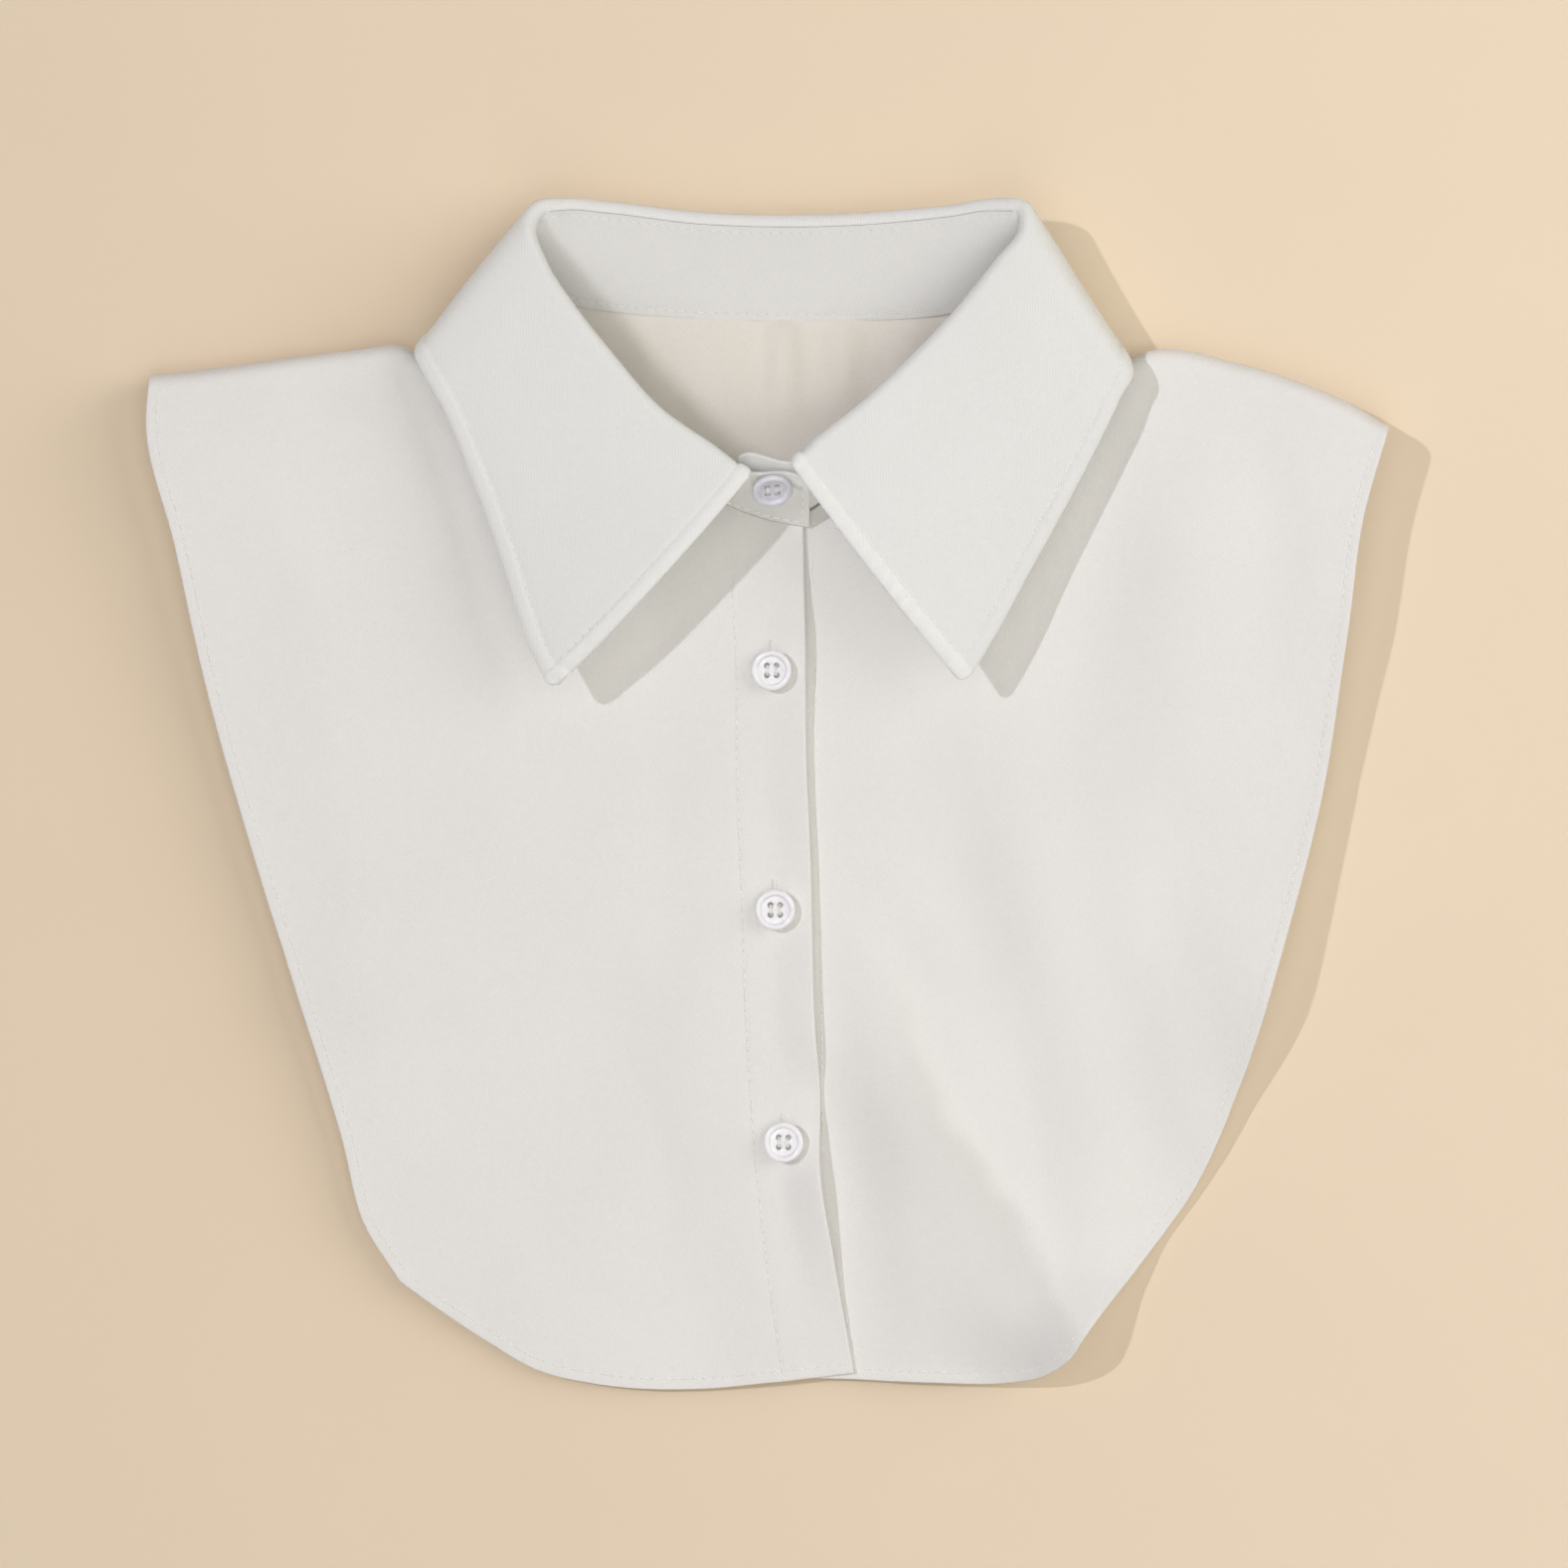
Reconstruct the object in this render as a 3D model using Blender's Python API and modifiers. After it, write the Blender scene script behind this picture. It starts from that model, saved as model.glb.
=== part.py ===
"""Detachable shirt collar, a false collar laid flat, as separate sewn pieces.

Every size and place below is in millimetres and is turned into Blender's metres when a mesh is made.
+X is to the right of the laid garment, +Y runs from its hem up to its collar and +Z is up from the table.
The table is at z = 0. The two fronts lie on the back panel, and the collar stands up round the neck.
"""

import math

import bmesh
import bpy
import numpy as np
from mathutils import Matrix, Vector

COLLECTION_NAME = "detachable_shirt_collar"
CUTTERS_NAME = "detachable_shirt_collar_cutters"
METRES_PER_MM = 0.001

# Cloth walls and the gaps that sewn or stacked pieces keep
PANEL_WALL = 1.2
PLACKET_WALL = 1.3
COLLAR_WALL = 1.2
SEAM_GAP = 0.4
LAYER_STEP = PANEL_WALL + SEAM_GAP

# The fold of the collar leaf over the top of the stand
ROLL_RADIUS = 1.6
STAND_TOP_GAP = 0.7

# The lowest the leaf's inner side comes where it rests on the table
LEAF_REST = COLLAR_WALL + 0.15

# The closure: how far the hidden edge of the lower front lies inside the placket's free edge
UNDERLAP = 17.8
RAMP_LENGTH = 28.0
PLACKET_NECK_PLACE = 4.0
STAND_END_INSET = 1.4
COLUMN_CLEARANCE = 1.0
PLACKET_FREE_LENGTH = 12.0
STAND_END_RADIUS = 7.0

# The shoulder folds: how far in from the shoulder line the cloth starts to turn down
SHOULDER_TURN = 7.0
BACK_SEAM_DROP = 0.6

# How far the back panel's hidden edges lie inside the edges of the fronts
BACK_INSET = 5.0

# How high the back panel lies over the leaf folded under it, and where that rise starts and ends
LEAF_COVER = 2.1
LEAF_COVER_START_Y = 100.0
LEAF_COVER_FULL_Y = 114.0
LEAF_COVER_FULL_X = 104.0
LEAF_COVER_END_X = 124.0

# How the back panel rises to the collar at the two corners of the neck
NECK_CORNERS = ((-72.0, 142.0), (76.0, 142.0))
NECK_CORNER_RISE = 1.2
NECK_CORNER_REACH = 26.0

# From which share of a side's length its top bends to meet the shoulder, and how the hem's end does
FRONT_SIDE_BLEND = 0.8
BACK_SIDE_BLEND = 0.7
HEM_BLEND_POWER = 4

# The shift that puts the middle of the whole garment's box at the origin
CENTRE_SHIFT = (-0.19, -0.37, 0.0)

# Outlines in plan, columns x and y, corner to corner
LEFT_SHOULDER = ((-172.9, 118.0), (-159.0, 119.4), (-136.8, 122.5), (-114.5, 125.2), (-103.0, 126.2),
                 (-95.6, 123.4), (-86.0, 126.6), (-74.0, 138.8))
RIGHT_SHOULDER = ((173.9, 103.4), (163.5, 109.7), (152.3, 114.7), (130.1, 121.6), (107.9, 125.0),
                  (98.6, 121.8), (89.0, 126.4), (77.8, 138.4))
LEFT_SIDE = ((-172.9, 118.0), (-173.8, 106.0), (-165.7, 69.6), (-156.5, 27.9), (-144.8, -13.8),
             (-131.8, -55.5), (-119.0, -97.2), (-113.4, -119.4), (-103.1, -136.1))
LEFT_HEM = ((-103.1, -136.1), (-95.6, -141.6), (-79.0, -152.8), (-64.5, -161.1), (-47.8, -165.0),
            (-20.0, -166.4), (2.2, -164.4), (4.4, -164.2))
RIGHT_SIDE = ((173.9, 103.4), (166.5, 78.0), (161.8, 44.6), (155.1, 0.0), (144.3, -41.6),
              (131.5, -83.3), (119.3, -111.1), (103.1, -133.3))
RIGHT_HEM = ((103.1, -133.3), (89.5, -150.0), (83.4, -158.3), (76.5, -162.6), (68.9, -164.2),
             (44.0, -164.4), (24.5, -163.6), (6.6, -163.2))
PLACKET_SEAM = ((-11.8, 74.0), (-9.2, 46.3), (-8.7, 8.0), (-7.5, -22.9), (-5.8, -69.9),
                (-3.3, -103.8), (0.0, -133.6), (4.4, -164.2))
PLACKET_EDGE = ((10.0, 74.6), (10.6, 48.0), (11.0, 8.0), (12.1, -17.5), (13.6, -68.2), (14.8, -82.6),
                (14.7, -103.8), (18.6, -129.4), (24.4, -161.8))

# How high the placket's free edge stands off the lower front, columns y and lift
PLACKET_LIFTS = ((80.0, 0.0), (70.0, 0.1), (58.0, 1.1), (48.0, 2.4), (21.0, 1.7), (-20.0, 1.7),
                 (-53.0, 2.1), (-72.0, 2.0), (-84.0, 0.1), (-95.0, 2.3), (-109.0, 4.2), (-121.0, 3.1),
                 (-136.0, 1.3), (-158.0, 0.1), (-170.0, 0.0))

# Height of the fronts' underside over the table, columns x, y and height
FRONT_LIFTS = (
    (1.0, 76.0, 5.2), (3.0, 36.0, 4.8), (5.0, -32.0, 3.4), (9.0, -97.0, 2.2), (14.0, -162.0, 1.7),
    (-38.0, 96.0, 6.4), (-66.0, 125.0, 6.4), (-73.0, 139.0, 6.2),
    (42.0, 97.0, 5.9), (68.0, 124.0, 6.4), (77.0, 139.0, 6.2),
    (-100.0, 119.0, 9.2), (-136.0, 116.0, 11.8), (-170.0, 112.0, 11.0),
    (-165.0, 68.0, 9.6), (-146.0, -12.0, 6.8), (-119.0, -92.0, 5.2), (-103.0, -134.0, 3.0),
    (-64.0, -159.0, 1.9), (-20.0, -164.0, 1.7), (-95.0, 10.0, 5.4), (-60.0, -80.0, 2.8),
    (100.0, 117.0, 9.6), (136.0, 114.0, 12.8), (171.0, 100.0, 16.5), (162.0, 47.0, 15.8),
    (156.0, 12.0, 11.4), (140.0, -58.0, 13.4), (131.0, -84.0, 6.8), (110.0, -123.0, 2.2),
    (99.0, -137.0, 7.4), (86.0, -152.0, 15.0), (74.0, -162.0, 8.0), (60.0, -162.0, 2.4),
    (36.0, -162.0, 1.7), (104.0, -30.0, 7.2), (60.0, 20.0, 5.6), (66.0, -100.0, 3.0),
)

# The largest soft folds of the fronts: a line in plan, the fold's half width and its height
FRONT_FOLDS = (
    ((52.0, -24.0), (80.0, -134.0), 13.0, -1.6),
    ((72.0, -18.0), (96.0, -112.0), 12.0, 1.6),
    ((-122.0, 96.0), (-92.0, 30.0), 15.0, -1.6),
    ((118.0, 84.0), (120.0, 10.0), 18.0, 1.4),
)

# Heights of the shoulder seams, halfway between the fronts and the back, columns x and height
SHOULDER_SEAMS = ((-175.0, 5.6), (-100.0, 5.6), (-73.0, 5.2), (76.0, 5.2), (100.0, 5.8), (175.0, 7.4))

# The collar from the wearer's right end round the back to the left end, a row a section:
# the crest of the fold, the seam at the foot of the stand and the leaf's outer edge, as x, y, z,
# then how far the leaf's middle bows up, how far it sways sideways and how fast it settles
COLLAR_SECTIONS = (
    ((-4.6, 91.0, 28.0), (-7.0, 79.2, 7.6), (-60.2, 29.3, 22.3), 2.2, 1.3, 1.0),
    ((-15.0, 98.0, 27.0), (-21.0, 86.0, 7.6), (-66.5, 42.2, 22.0), 1.6, 0.6, 1.0),
    ((-30.0, 108.8, 26.0), (-38.5, 96.0, 7.4), (-74.5, 67.0, 21.4), 1.2, 0.0, 1.0),
    ((-44.0, 125.0, 25.0), (-54.5, 112.0, 7.2), (-83.2, 91.0, 20.8), 1.0, 0.0, 1.0),
    ((-54.0, 138.0, 24.0), (-65.5, 124.5, 7.2), (-90.2, 107.8, 20.2), 0.8, 0.0, 1.0),
    ((-61.0, 149.0, 22.8), (-71.5, 133.5, 7.2), (-95.4, 117.0, 19.2), 0.6, 0.0, 1.0),
    ((-64.4, 158.4, 21.4), (-73.2, 137.6, 6.6), (-98.0, 122.8, 16.4), 0.4, 0.0, 1.0),
    ((-62.4, 164.6, 19.8), (-69.2, 141.4, 5.4), (-96.4, 125.8, 9.4), 0.0, 0.0, 1.2),
    ((-56.0, 166.2, 17.8), (-61.5, 139.2, 4.8), (-91.5, 125.2, 2.6), 0.0, 0.0, 1.8),
    ((-45.0, 165.6, 15.4), (-49.0, 136.6, 4.2), (-76.0, 122.8, 1.5), 0.0, 0.0, 2.6),
    ((-18.0, 162.6, 13.0), (-18.0, 133.8, 3.5), (-30.0, 120.2, 1.4), 0.0, 0.0, 3.0),
    ((20.0, 162.1, 13.0), (18.0, 133.4, 3.5), (34.0, 119.8, 1.4), 0.0, 0.0, 3.0),
    ((50.0, 164.4, 16.6), (50.0, 135.2, 4.3), (80.0, 121.8, 1.5), 0.0, 0.0, 2.6),
    ((63.0, 165.8, 20.4), (65.5, 139.2, 5.0), (93.4, 124.0, 2.8), 0.0, 0.0, 1.8),
    ((69.8, 164.4, 23.0), (73.4, 141.0, 5.6), (98.2, 124.4, 10.2), 0.0, 0.0, 1.2),
    ((69.8, 158.8, 24.2), (76.8, 137.2, 6.6), (101.2, 119.0, 18.2), 0.4, 0.0, 1.0),
    ((62.6, 149.0, 25.0), (73.0, 130.0, 7.2), (97.8, 110.2, 21.4), 0.6, 0.0, 1.0),
    ((52.6, 136.4, 26.0), (62.5, 118.5, 7.2), (90.8, 95.6, 22.0), 0.8, 0.0, 1.0),
    ((39.4, 122.2, 26.8), (48.0, 105.0, 7.0), (81.5, 78.0, 22.0), 1.0, 0.0, 1.0),
    ((26.0, 109.8, 27.4), (33.0, 93.5, 6.6), (71.5, 59.8, 22.0), 1.2, 0.0, 1.0),
    ((13.6, 100.0, 28.0), (18.5, 84.6, 6.2), (62.5, 43.3, 22.4), 1.4, 0.0, 1.0),
    ((6.5, 94.0, 28.6), (9.0, 79.0, 6.0), (54.6, 30.5, 22.8), 1.6, -0.8, 1.0),
)

# The stand's two ends past the leaf, as crest and seam: the outer end and the hidden inner end
STAND_OUTER_END = (((11.8, 91.2, 27.6), (11.6, 74.8, 7.9)), ((4.0, 91.4, 27.8), (3.0, 76.2, 7.8)))
STAND_INNER_END = (((-1.0, 95.6, 28.6), (0.5, 79.6, 6.0)), ((-8.6, 98.2, 28.2), (-7.5, 82.0, 6.0)))

# Buttons: a pressed four-hole button, and where each one's middle lies, columns name, x and y
BUTTON_PROFILE = ((0.0, 1.5), (3.7, 1.5), (4.4, 1.9), (4.9, 2.5), (5.4, 2.3), (5.7, 1.6),
                  (5.4, 0.8), (4.2, 0.2), (2.4, 0.0), (0.0, 0.0))
BUTTON_STEPS = 24
BUTTON_HOLE_RADIUS = 0.85
BUTTON_HOLE_SPACING = 2.7
BUTTON_HOLE_STEPS = 10
HOLE_PIN_LENGTH = 8.0
HOLE_PIN_MIDDLE = 1.0
BUTTON_RADIUS = 5.7
BUTTON_SEAT_STEPS = 12
BUTTON_SEAT = 0.35
NECK_BUTTON_SHANK = 1.0
PLACKET_BUTTONS = (("button_1", 1.7, 35.2), ("button_2", 2.5, -31.8), ("button_3", 5.0, -97.0))
NECK_BUTTON_X = 0.6
NECK_BUTTON_SHARE = 0.80
NECK_BUTTON_TILT = 10.0

# How finely each piece is divided
FRONT_ROWS = 20
BACK_ROWS = 12
PLACKET_ROWS = 30
SHOULDER_COLUMNS = 8
COLUMNS_PER_SECTION = 2
STAND_ROWS = 3
ROLL_ROWS = 4
LEAF_ROWS = 6
TURN_ROWS = 5
TURN_SHARE = 0.028
STAND_END_SHARES = (0.0, 0.06, 0.22, 0.5, 1.0)

# The step along the collar over which its direction is taken
DIRECTION_STEP = 0.5

UP = np.array([0.0, 0.0, 1.0])

CLOTH_WHITE = (0.80, 0.79, 0.765, 1.0)
BUTTON_WHITE = (0.84, 0.84, 0.88, 1.0)


def smooth_step(value, low, high):
    """Go from 0 at low to 1 at high with level ends."""
    share = np.clip((np.asarray(value, float) - low) / (high - low), 0.0, 1.0)
    return share * share * (3.0 - 2.0 * share)


def unit(vectors):
    """Scale one vector or an array of vectors to length 1."""
    vectors = np.asarray(vectors, float)
    return vectors / np.linalg.norm(vectors, axis=-1, keepdims=True)


def spline(knots, values, places):
    """Pass a smooth curve through values at knots and read it at places."""
    knots = np.asarray(knots, float)
    values = np.asarray(values, float).reshape(len(knots), -1)
    steps = np.diff(knots)
    slopes = np.diff(values, axis=0) / steps[:, None]
    tangents = np.empty_like(values)
    tangents[0] = slopes[0]
    tangents[-1] = slopes[-1]
    before, after = steps[:-1, None], steps[1:, None]
    tangents[1:-1] = (slopes[:-1] * after + slopes[1:] * before) / (before + after)
    places = np.clip(np.asarray(places, float), knots[0], knots[-1])
    index = np.clip(np.searchsorted(knots, places, side="right") - 1, 0, len(steps) - 1)
    step = steps[index][:, None]
    share = ((places - knots[index]) / steps[index])[:, None]
    start = values[index] * (1 + 2 * share) * (1 - share) ** 2
    start += tangents[index] * step * share * (1 - share) ** 2
    end = values[index + 1] * share ** 2 * (3 - 2 * share)
    end -= tangents[index + 1] * step * share ** 2 * (1 - share)
    return start + end


def chord_lengths(points):
    """Give each point's distance along the line through the points."""
    steps = np.linalg.norm(np.diff(np.asarray(points, float), axis=0), axis=1)
    return np.concatenate(([0.0], np.cumsum(steps)))


def outline(points, shares):
    """Read a smooth outline through points at shares of its length."""
    lengths = chord_lengths(points)
    return spline(lengths, points, np.asarray(shares, float) * lengths[-1])


def plan_distance(places, line):
    """Give each place's distance in plan from a line of points."""
    places = np.asarray(places, float)[..., None, :]
    starts = np.asarray(line, float)[:-1]
    runs = np.diff(np.asarray(line, float), axis=0)
    share = np.sum((places - starts) * runs, axis=-1) / np.sum(runs * runs, axis=-1)
    nearest = starts + np.clip(share, 0.0, 1.0)[..., None] * runs
    return np.min(np.linalg.norm(places - nearest, axis=-1), axis=-1)


def plate_kernel(distance):
    """Give the bending of a thin plate at a distance from a point that holds it."""
    safe = np.maximum(distance, 1e-9)
    return safe * safe * np.log(safe)


def bend_plate(rows):
    """Bend a thin plate through rows of x, y and height, and return a function of places."""
    rows = np.asarray(rows, float)
    places, heights = rows[:, :2], rows[:, 2]
    count = len(rows)
    system = np.zeros((count + 3, count + 3))
    system[:count, :count] = plate_kernel(np.linalg.norm(places[:, None] - places[None], axis=-1))
    system[:count, count] = 1.0
    system[:count, count + 1:] = places
    system[count:, :count] = system[:count, count:].T
    weights = np.linalg.solve(system, np.concatenate((heights, np.zeros(3))))

    def height(points):
        points = np.asarray(points, float)
        distance = np.linalg.norm(points[..., None, :] - places, axis=-1)
        bent = plate_kernel(distance) @ weights[:count]
        return bent + weights[count] + points @ weights[count + 1:]

    return height


FRONT_PLATE = bend_plate(FRONT_LIFTS)


def front_height(points):
    """Give the height of the fronts' underside where only the back panel is below them."""
    height = FRONT_PLATE(points)
    for start, end, half_width, rise in FRONT_FOLDS:
        distance = plan_distance(points, (start, end))
        height = height + rise * np.exp(-(distance / half_width) ** 2)
    return np.maximum(height, LAYER_STEP)


def table_value(table, places):
    """Read the second column of a table against its first one."""
    rows = sorted(table)
    columns = np.asarray(rows, float)
    flat = np.atleast_1d(np.asarray(places, float)).ravel()
    return spline(columns[:, 0], columns[:, 1], flat).reshape(np.shape(places))


def placket_edge_x(heights_up):
    """Give the placket's free edge as x at each y."""
    return table_value([(y, x) for x, y in PLACKET_EDGE], heights_up)


def over_height(points):
    """Give the underside of the upper front and its placket, which lie over the lower front."""
    points = np.asarray(points, float)
    edge = placket_edge_x(points[..., 1])
    hidden_edge = edge - UNDERLAP
    layers = smooth_step(points[..., 0], hidden_edge - RAMP_LENGTH, hidden_edge - SEAM_GAP)
    free = smooth_step(points[..., 0], edge - PLACKET_FREE_LENGTH, edge)
    free_lift = np.maximum(table_value(PLACKET_LIFTS, points[..., 1]), 0.0)
    return front_height(points) + LAYER_STEP * layers + free_lift * free


def patch(top, bottom, left, right):
    """Fill four edges with a grid of plan points; top and bottom run left to right, the others up."""
    columns = np.linspace(0.0, 1.0, len(top))[:, None, None]
    rows = np.linspace(0.0, 1.0, len(left))[None, :, None]
    across = (1 - columns) * left[None] + columns * right[None]
    up = (1 - rows) * bottom[:, None] + rows * top[:, None]
    corners = (1 - columns) * (1 - rows) * bottom[0] + columns * (1 - rows) * bottom[-1]
    corners = corners + (1 - columns) * rows * top[0] + columns * rows * top[-1]
    return across + up - corners


def row_shares(count):
    """Space the rows of a panel up its height, close together where the shoulder turns down."""
    body = np.linspace(0.0, 1.0 - TURN_SHARE, count - TURN_ROWS + 1)
    angles = np.linspace(math.pi / 2, 0.0, TURN_ROWS + 1)[1:]
    turn = 1.0 - TURN_SHARE * (1.0 - np.cos(angles))
    return np.concatenate((body, turn))


def collar_rows():
    """Give the collar's places along its length with its crest and seam, the stand's ends included."""
    outer = [np.concatenate(row) for row in STAND_OUTER_END]
    inner = [np.concatenate(row) for row in STAND_INNER_END]
    body = [np.concatenate((fold, seam)) for fold, seam, *_ in COLLAR_SECTIONS]
    rows = np.array(outer + body + inner)
    lengths = chord_lengths((rows[:, :3] + rows[:, 3:]) / 2)
    return lengths - lengths[len(outer)], rows


def collar_knots():
    """Give the place of each section of the leaf along the collar."""
    lengths, _ = collar_rows()
    first = len(STAND_OUTER_END)
    return lengths[first:first + len(COLLAR_SECTIONS)]


def stand_lines(places):
    """Give the fold's crest and the stand's seam at places along the collar."""
    lengths, rows = collar_rows()
    values = spline(lengths, rows, places)
    return values[:, :3], values[:, 3:]


def roll_frame(places):
    """Give the crest, the seam, and the stand's upward and outward directions along the collar."""
    ahead, _ = stand_lines(places + DIRECTION_STEP)
    behind, _ = stand_lines(places - DIRECTION_STEP)
    along = unit(ahead - behind)
    fold, seam = stand_lines(places)
    rise = fold - seam
    upward = unit(rise - np.sum(rise * along, axis=1, keepdims=True) * along)
    outward = np.cross(upward, along)
    return fold, seam, upward, outward


def column_places(first, last):
    """Give the places of the collar's columns from first to last, the same for every piece there."""
    lengths, _ = collar_rows()
    counts = np.linspace(0, len(lengths) - 1, (len(lengths) - 1) * COLUMNS_PER_SECTION + 1)
    columns = np.interp(counts, np.arange(len(lengths)), lengths)
    clear = COLUMN_CLEARANCE
    inside = columns[(columns > first + clear) & (columns < last - clear)]
    return np.concatenate(([first], inside, [last]))


def stand_grid():
    """Make the stand as a band from its seam to just under the fold, with rounded ends."""
    lengths, _ = collar_rows()
    turn = np.array(STAND_END_SHARES) * STAND_END_RADIUS
    body = column_places(lengths[0] + turn[-1], lengths[-1] - turn[-1])
    places = np.concatenate((lengths[0] + turn[:-1], body, (lengths[-1] - turn[:-1])[::-1]))
    fold, seam, upward, _ = roll_frame(places)
    top = fold - (ROLL_RADIUS + COLLAR_WALL + STAND_TOP_GAP) * upward
    from_end = np.minimum(places - lengths[0], lengths[-1] - places)
    inset = np.clip(STAND_END_RADIUS - from_end, 0.0, STAND_END_RADIUS)
    drop = STAND_END_RADIUS - np.sqrt(STAND_END_RADIUS ** 2 - inset ** 2)
    height = np.linalg.norm(top - seam, axis=1)
    top = top - (top - seam) * (drop / height)[:, None]
    shares = np.linspace(0.0, 1.0, STAND_ROWS + 1)[None, :, None]
    return seam[:, None] * (1 - shares) + top[:, None] * shares


def leaf_grid():
    """Make the leaf: over the roll in an arc, then out to its edge with a slight bow."""
    knots = collar_knots()
    places = column_places(knots[0], knots[-1])
    edges = np.array([section[2] for section in COLLAR_SECTIONS])
    shapes = np.array([section[3:] for section in COLLAR_SECTIONS])
    edge = spline(knots, edges, places)
    edge[:, 2] = np.maximum(edge[:, 2], LEAF_REST)
    bow, sway, settle = spline(knots, shapes, places).T[..., None]
    fold, _, upward, outward = roll_frame(places)
    start = fold - (ROLL_RADIUS + COLLAR_WALL) * upward
    reach = edge - fold
    level = unit(np.stack((reach[:, 1], -reach[:, 0], np.zeros(len(reach))), axis=1))
    rise = UP * bow - level * sway
    drop = UP * np.minimum(reach[:, 2:] + 2 * ROLL_RADIUS, 0.0)
    heading = reach + 4 * rise + drop * (settle - 1)
    turn = np.arctan2(np.sum(heading * outward, axis=1), np.sum(heading * upward, axis=1))
    turn = np.where(turn < 0, turn + 2 * math.pi, turn)
    rows = []
    for share in np.linspace(0.0, 1.0, ROLL_ROWS + 1):
        angle = (turn * share)[:, None]
        arc = np.sin(angle) * upward + (1 - np.cos(angle)) * outward
        rows.append(start + ROLL_RADIUS * arc)
    leave = rows[-1]
    for share in np.linspace(0.0, 1.0, LEAF_ROWS + 1)[1:]:
        straight = leave * (1 - share) + edge * share
        settled = (1 - share) ** settle - (1 - share)
        height = UP * (leave - edge)[:, 2:] * settled
        rows.append(straight + height + 4 * share * (1 - share) * rise)
    return np.stack(rows, axis=1)


def neck_line(first, last, side_step):
    """Give a panel's neck edge in plan, beside the stand's seam, side_step towards the neck's middle."""
    places = column_places(first, last)
    _, seam = stand_lines(places)
    _, ahead = stand_lines(places + DIRECTION_STEP)
    _, behind = stand_lines(places - DIRECTION_STEP)
    along = unit((ahead - behind)[:, :2])
    beside = np.stack((along[:, 1], -along[:, 0]), axis=1)
    return seam[:, :2] + beside * side_step


def cloth_material(name, colour, roughness):
    """Make a plain material for one piece."""
    material = bpy.data.materials.new(name)
    material.use_nodes = True
    shader = material.node_tree.nodes["Principled BSDF"]
    shader.inputs["Base Color"].default_value = colour
    shader.inputs["Roughness"].default_value = roughness
    shader.inputs["Metallic"].default_value = 0.0
    material.diffuse_color = colour
    return material


def add_object(name, mesh, collection):
    """Put a mesh in the collection as a named object."""
    piece = bpy.data.objects.new(name, mesh)
    collection.objects.link(piece)
    return piece


def add_sheet(name, grid, wall, collection):
    """Make a cloth piece from a grid of points on its inner side, thickened outwards."""
    columns, rows = grid.shape[:2]
    points = (grid.reshape(-1, 3) + np.array(CENTRE_SHIFT)) * METRES_PER_MM
    shape = bmesh.new()
    corners = [shape.verts.new(Vector(point)) for point in points]
    for column in range(columns - 1):
        for row in range(rows - 1):
            first = column * rows + row
            ring = (first, first + rows, first + rows + 1, first + 1)
            shape.faces.new([corners[index] for index in ring])
    mesh = bpy.data.meshes.new(name)
    shape.to_mesh(mesh)
    shape.free()
    piece = add_object(name, mesh, collection)
    solid = piece.modifiers.new("cloth_wall", "SOLIDIFY")
    solid.thickness = wall * METRES_PER_MM
    solid.offset = 1.0
    mesh.materials.append(cloth_material(name + "_cloth", CLOTH_WHITE, 0.85))
    return piece


def with_height(plan, height):
    """Add the height column to a grid of plan points."""
    return np.concatenate((plan, height[..., None]), axis=-1)


def shoulder_turn(plan, line, height, seam_side):
    """Bend a panel's height towards the shoulder seam, seam_side above or below the seam."""
    near = np.clip(1.0 - plan_distance(plan, line) / SHOULDER_TURN, 0.0, 1.0)
    seam = table_value(SHOULDER_SEAMS, plan[..., 0]) + seam_side * SEAM_GAP / 2
    return seam + (height - seam) * np.sqrt(1.0 - near ** 2)


def moved_in(line, distance):
    """Move an outline in plan to the right of its run."""
    along = unit(np.gradient(line, axis=0))
    beside = np.stack((along[:, 1], -along[:, 0]), axis=1)
    return line + beside * distance


def side_neck_places():
    """Give the places along the collar where the shoulder seams meet it."""
    knots = collar_knots()
    return knots[6], knots[15]


def make_front_over(collection):
    """Make the upper front, from its armhole edge to the placket seam."""
    left_neck, _ = side_neck_places()
    shoulder = outline(LEFT_SHOULDER, np.linspace(0, 1, SHOULDER_COLUMNS + 1))
    neck = neck_line(PLACKET_NECK_PLACE, left_neck, -SEAM_GAP)[::-1]
    shoulder_line = np.concatenate((moved_in(shoulder, PANEL_WALL)[:-1], neck[:1]))
    top = np.concatenate((shoulder_line, neck[1:]))
    shares = row_shares(FRONT_ROWS)
    side = outline(LEFT_SIDE[::-1], shares)
    side = side + (top[0] - side[-1]) * smooth_step(shares, FRONT_SIDE_BLEND, 1.0)[:, None]
    seam_points = np.array(PLACKET_SEAM[::-1], float)
    seam_points[:, 0] -= SEAM_GAP
    seam_points[-1] = top[-1]
    seam = outline(seam_points, shares)
    hem = outline(LEFT_HEM, np.linspace(0, 1, len(top)))
    hem = hem + (seam[0] - hem[-1]) * np.linspace(0, 1, len(top))[:, None] ** HEM_BLEND_POWER
    plan = patch(top, hem, side, seam)
    height = shoulder_turn(plan, shoulder_line, over_height(plan), 1)
    return add_sheet("front_over", with_height(plan, height), PANEL_WALL, collection)


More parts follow.
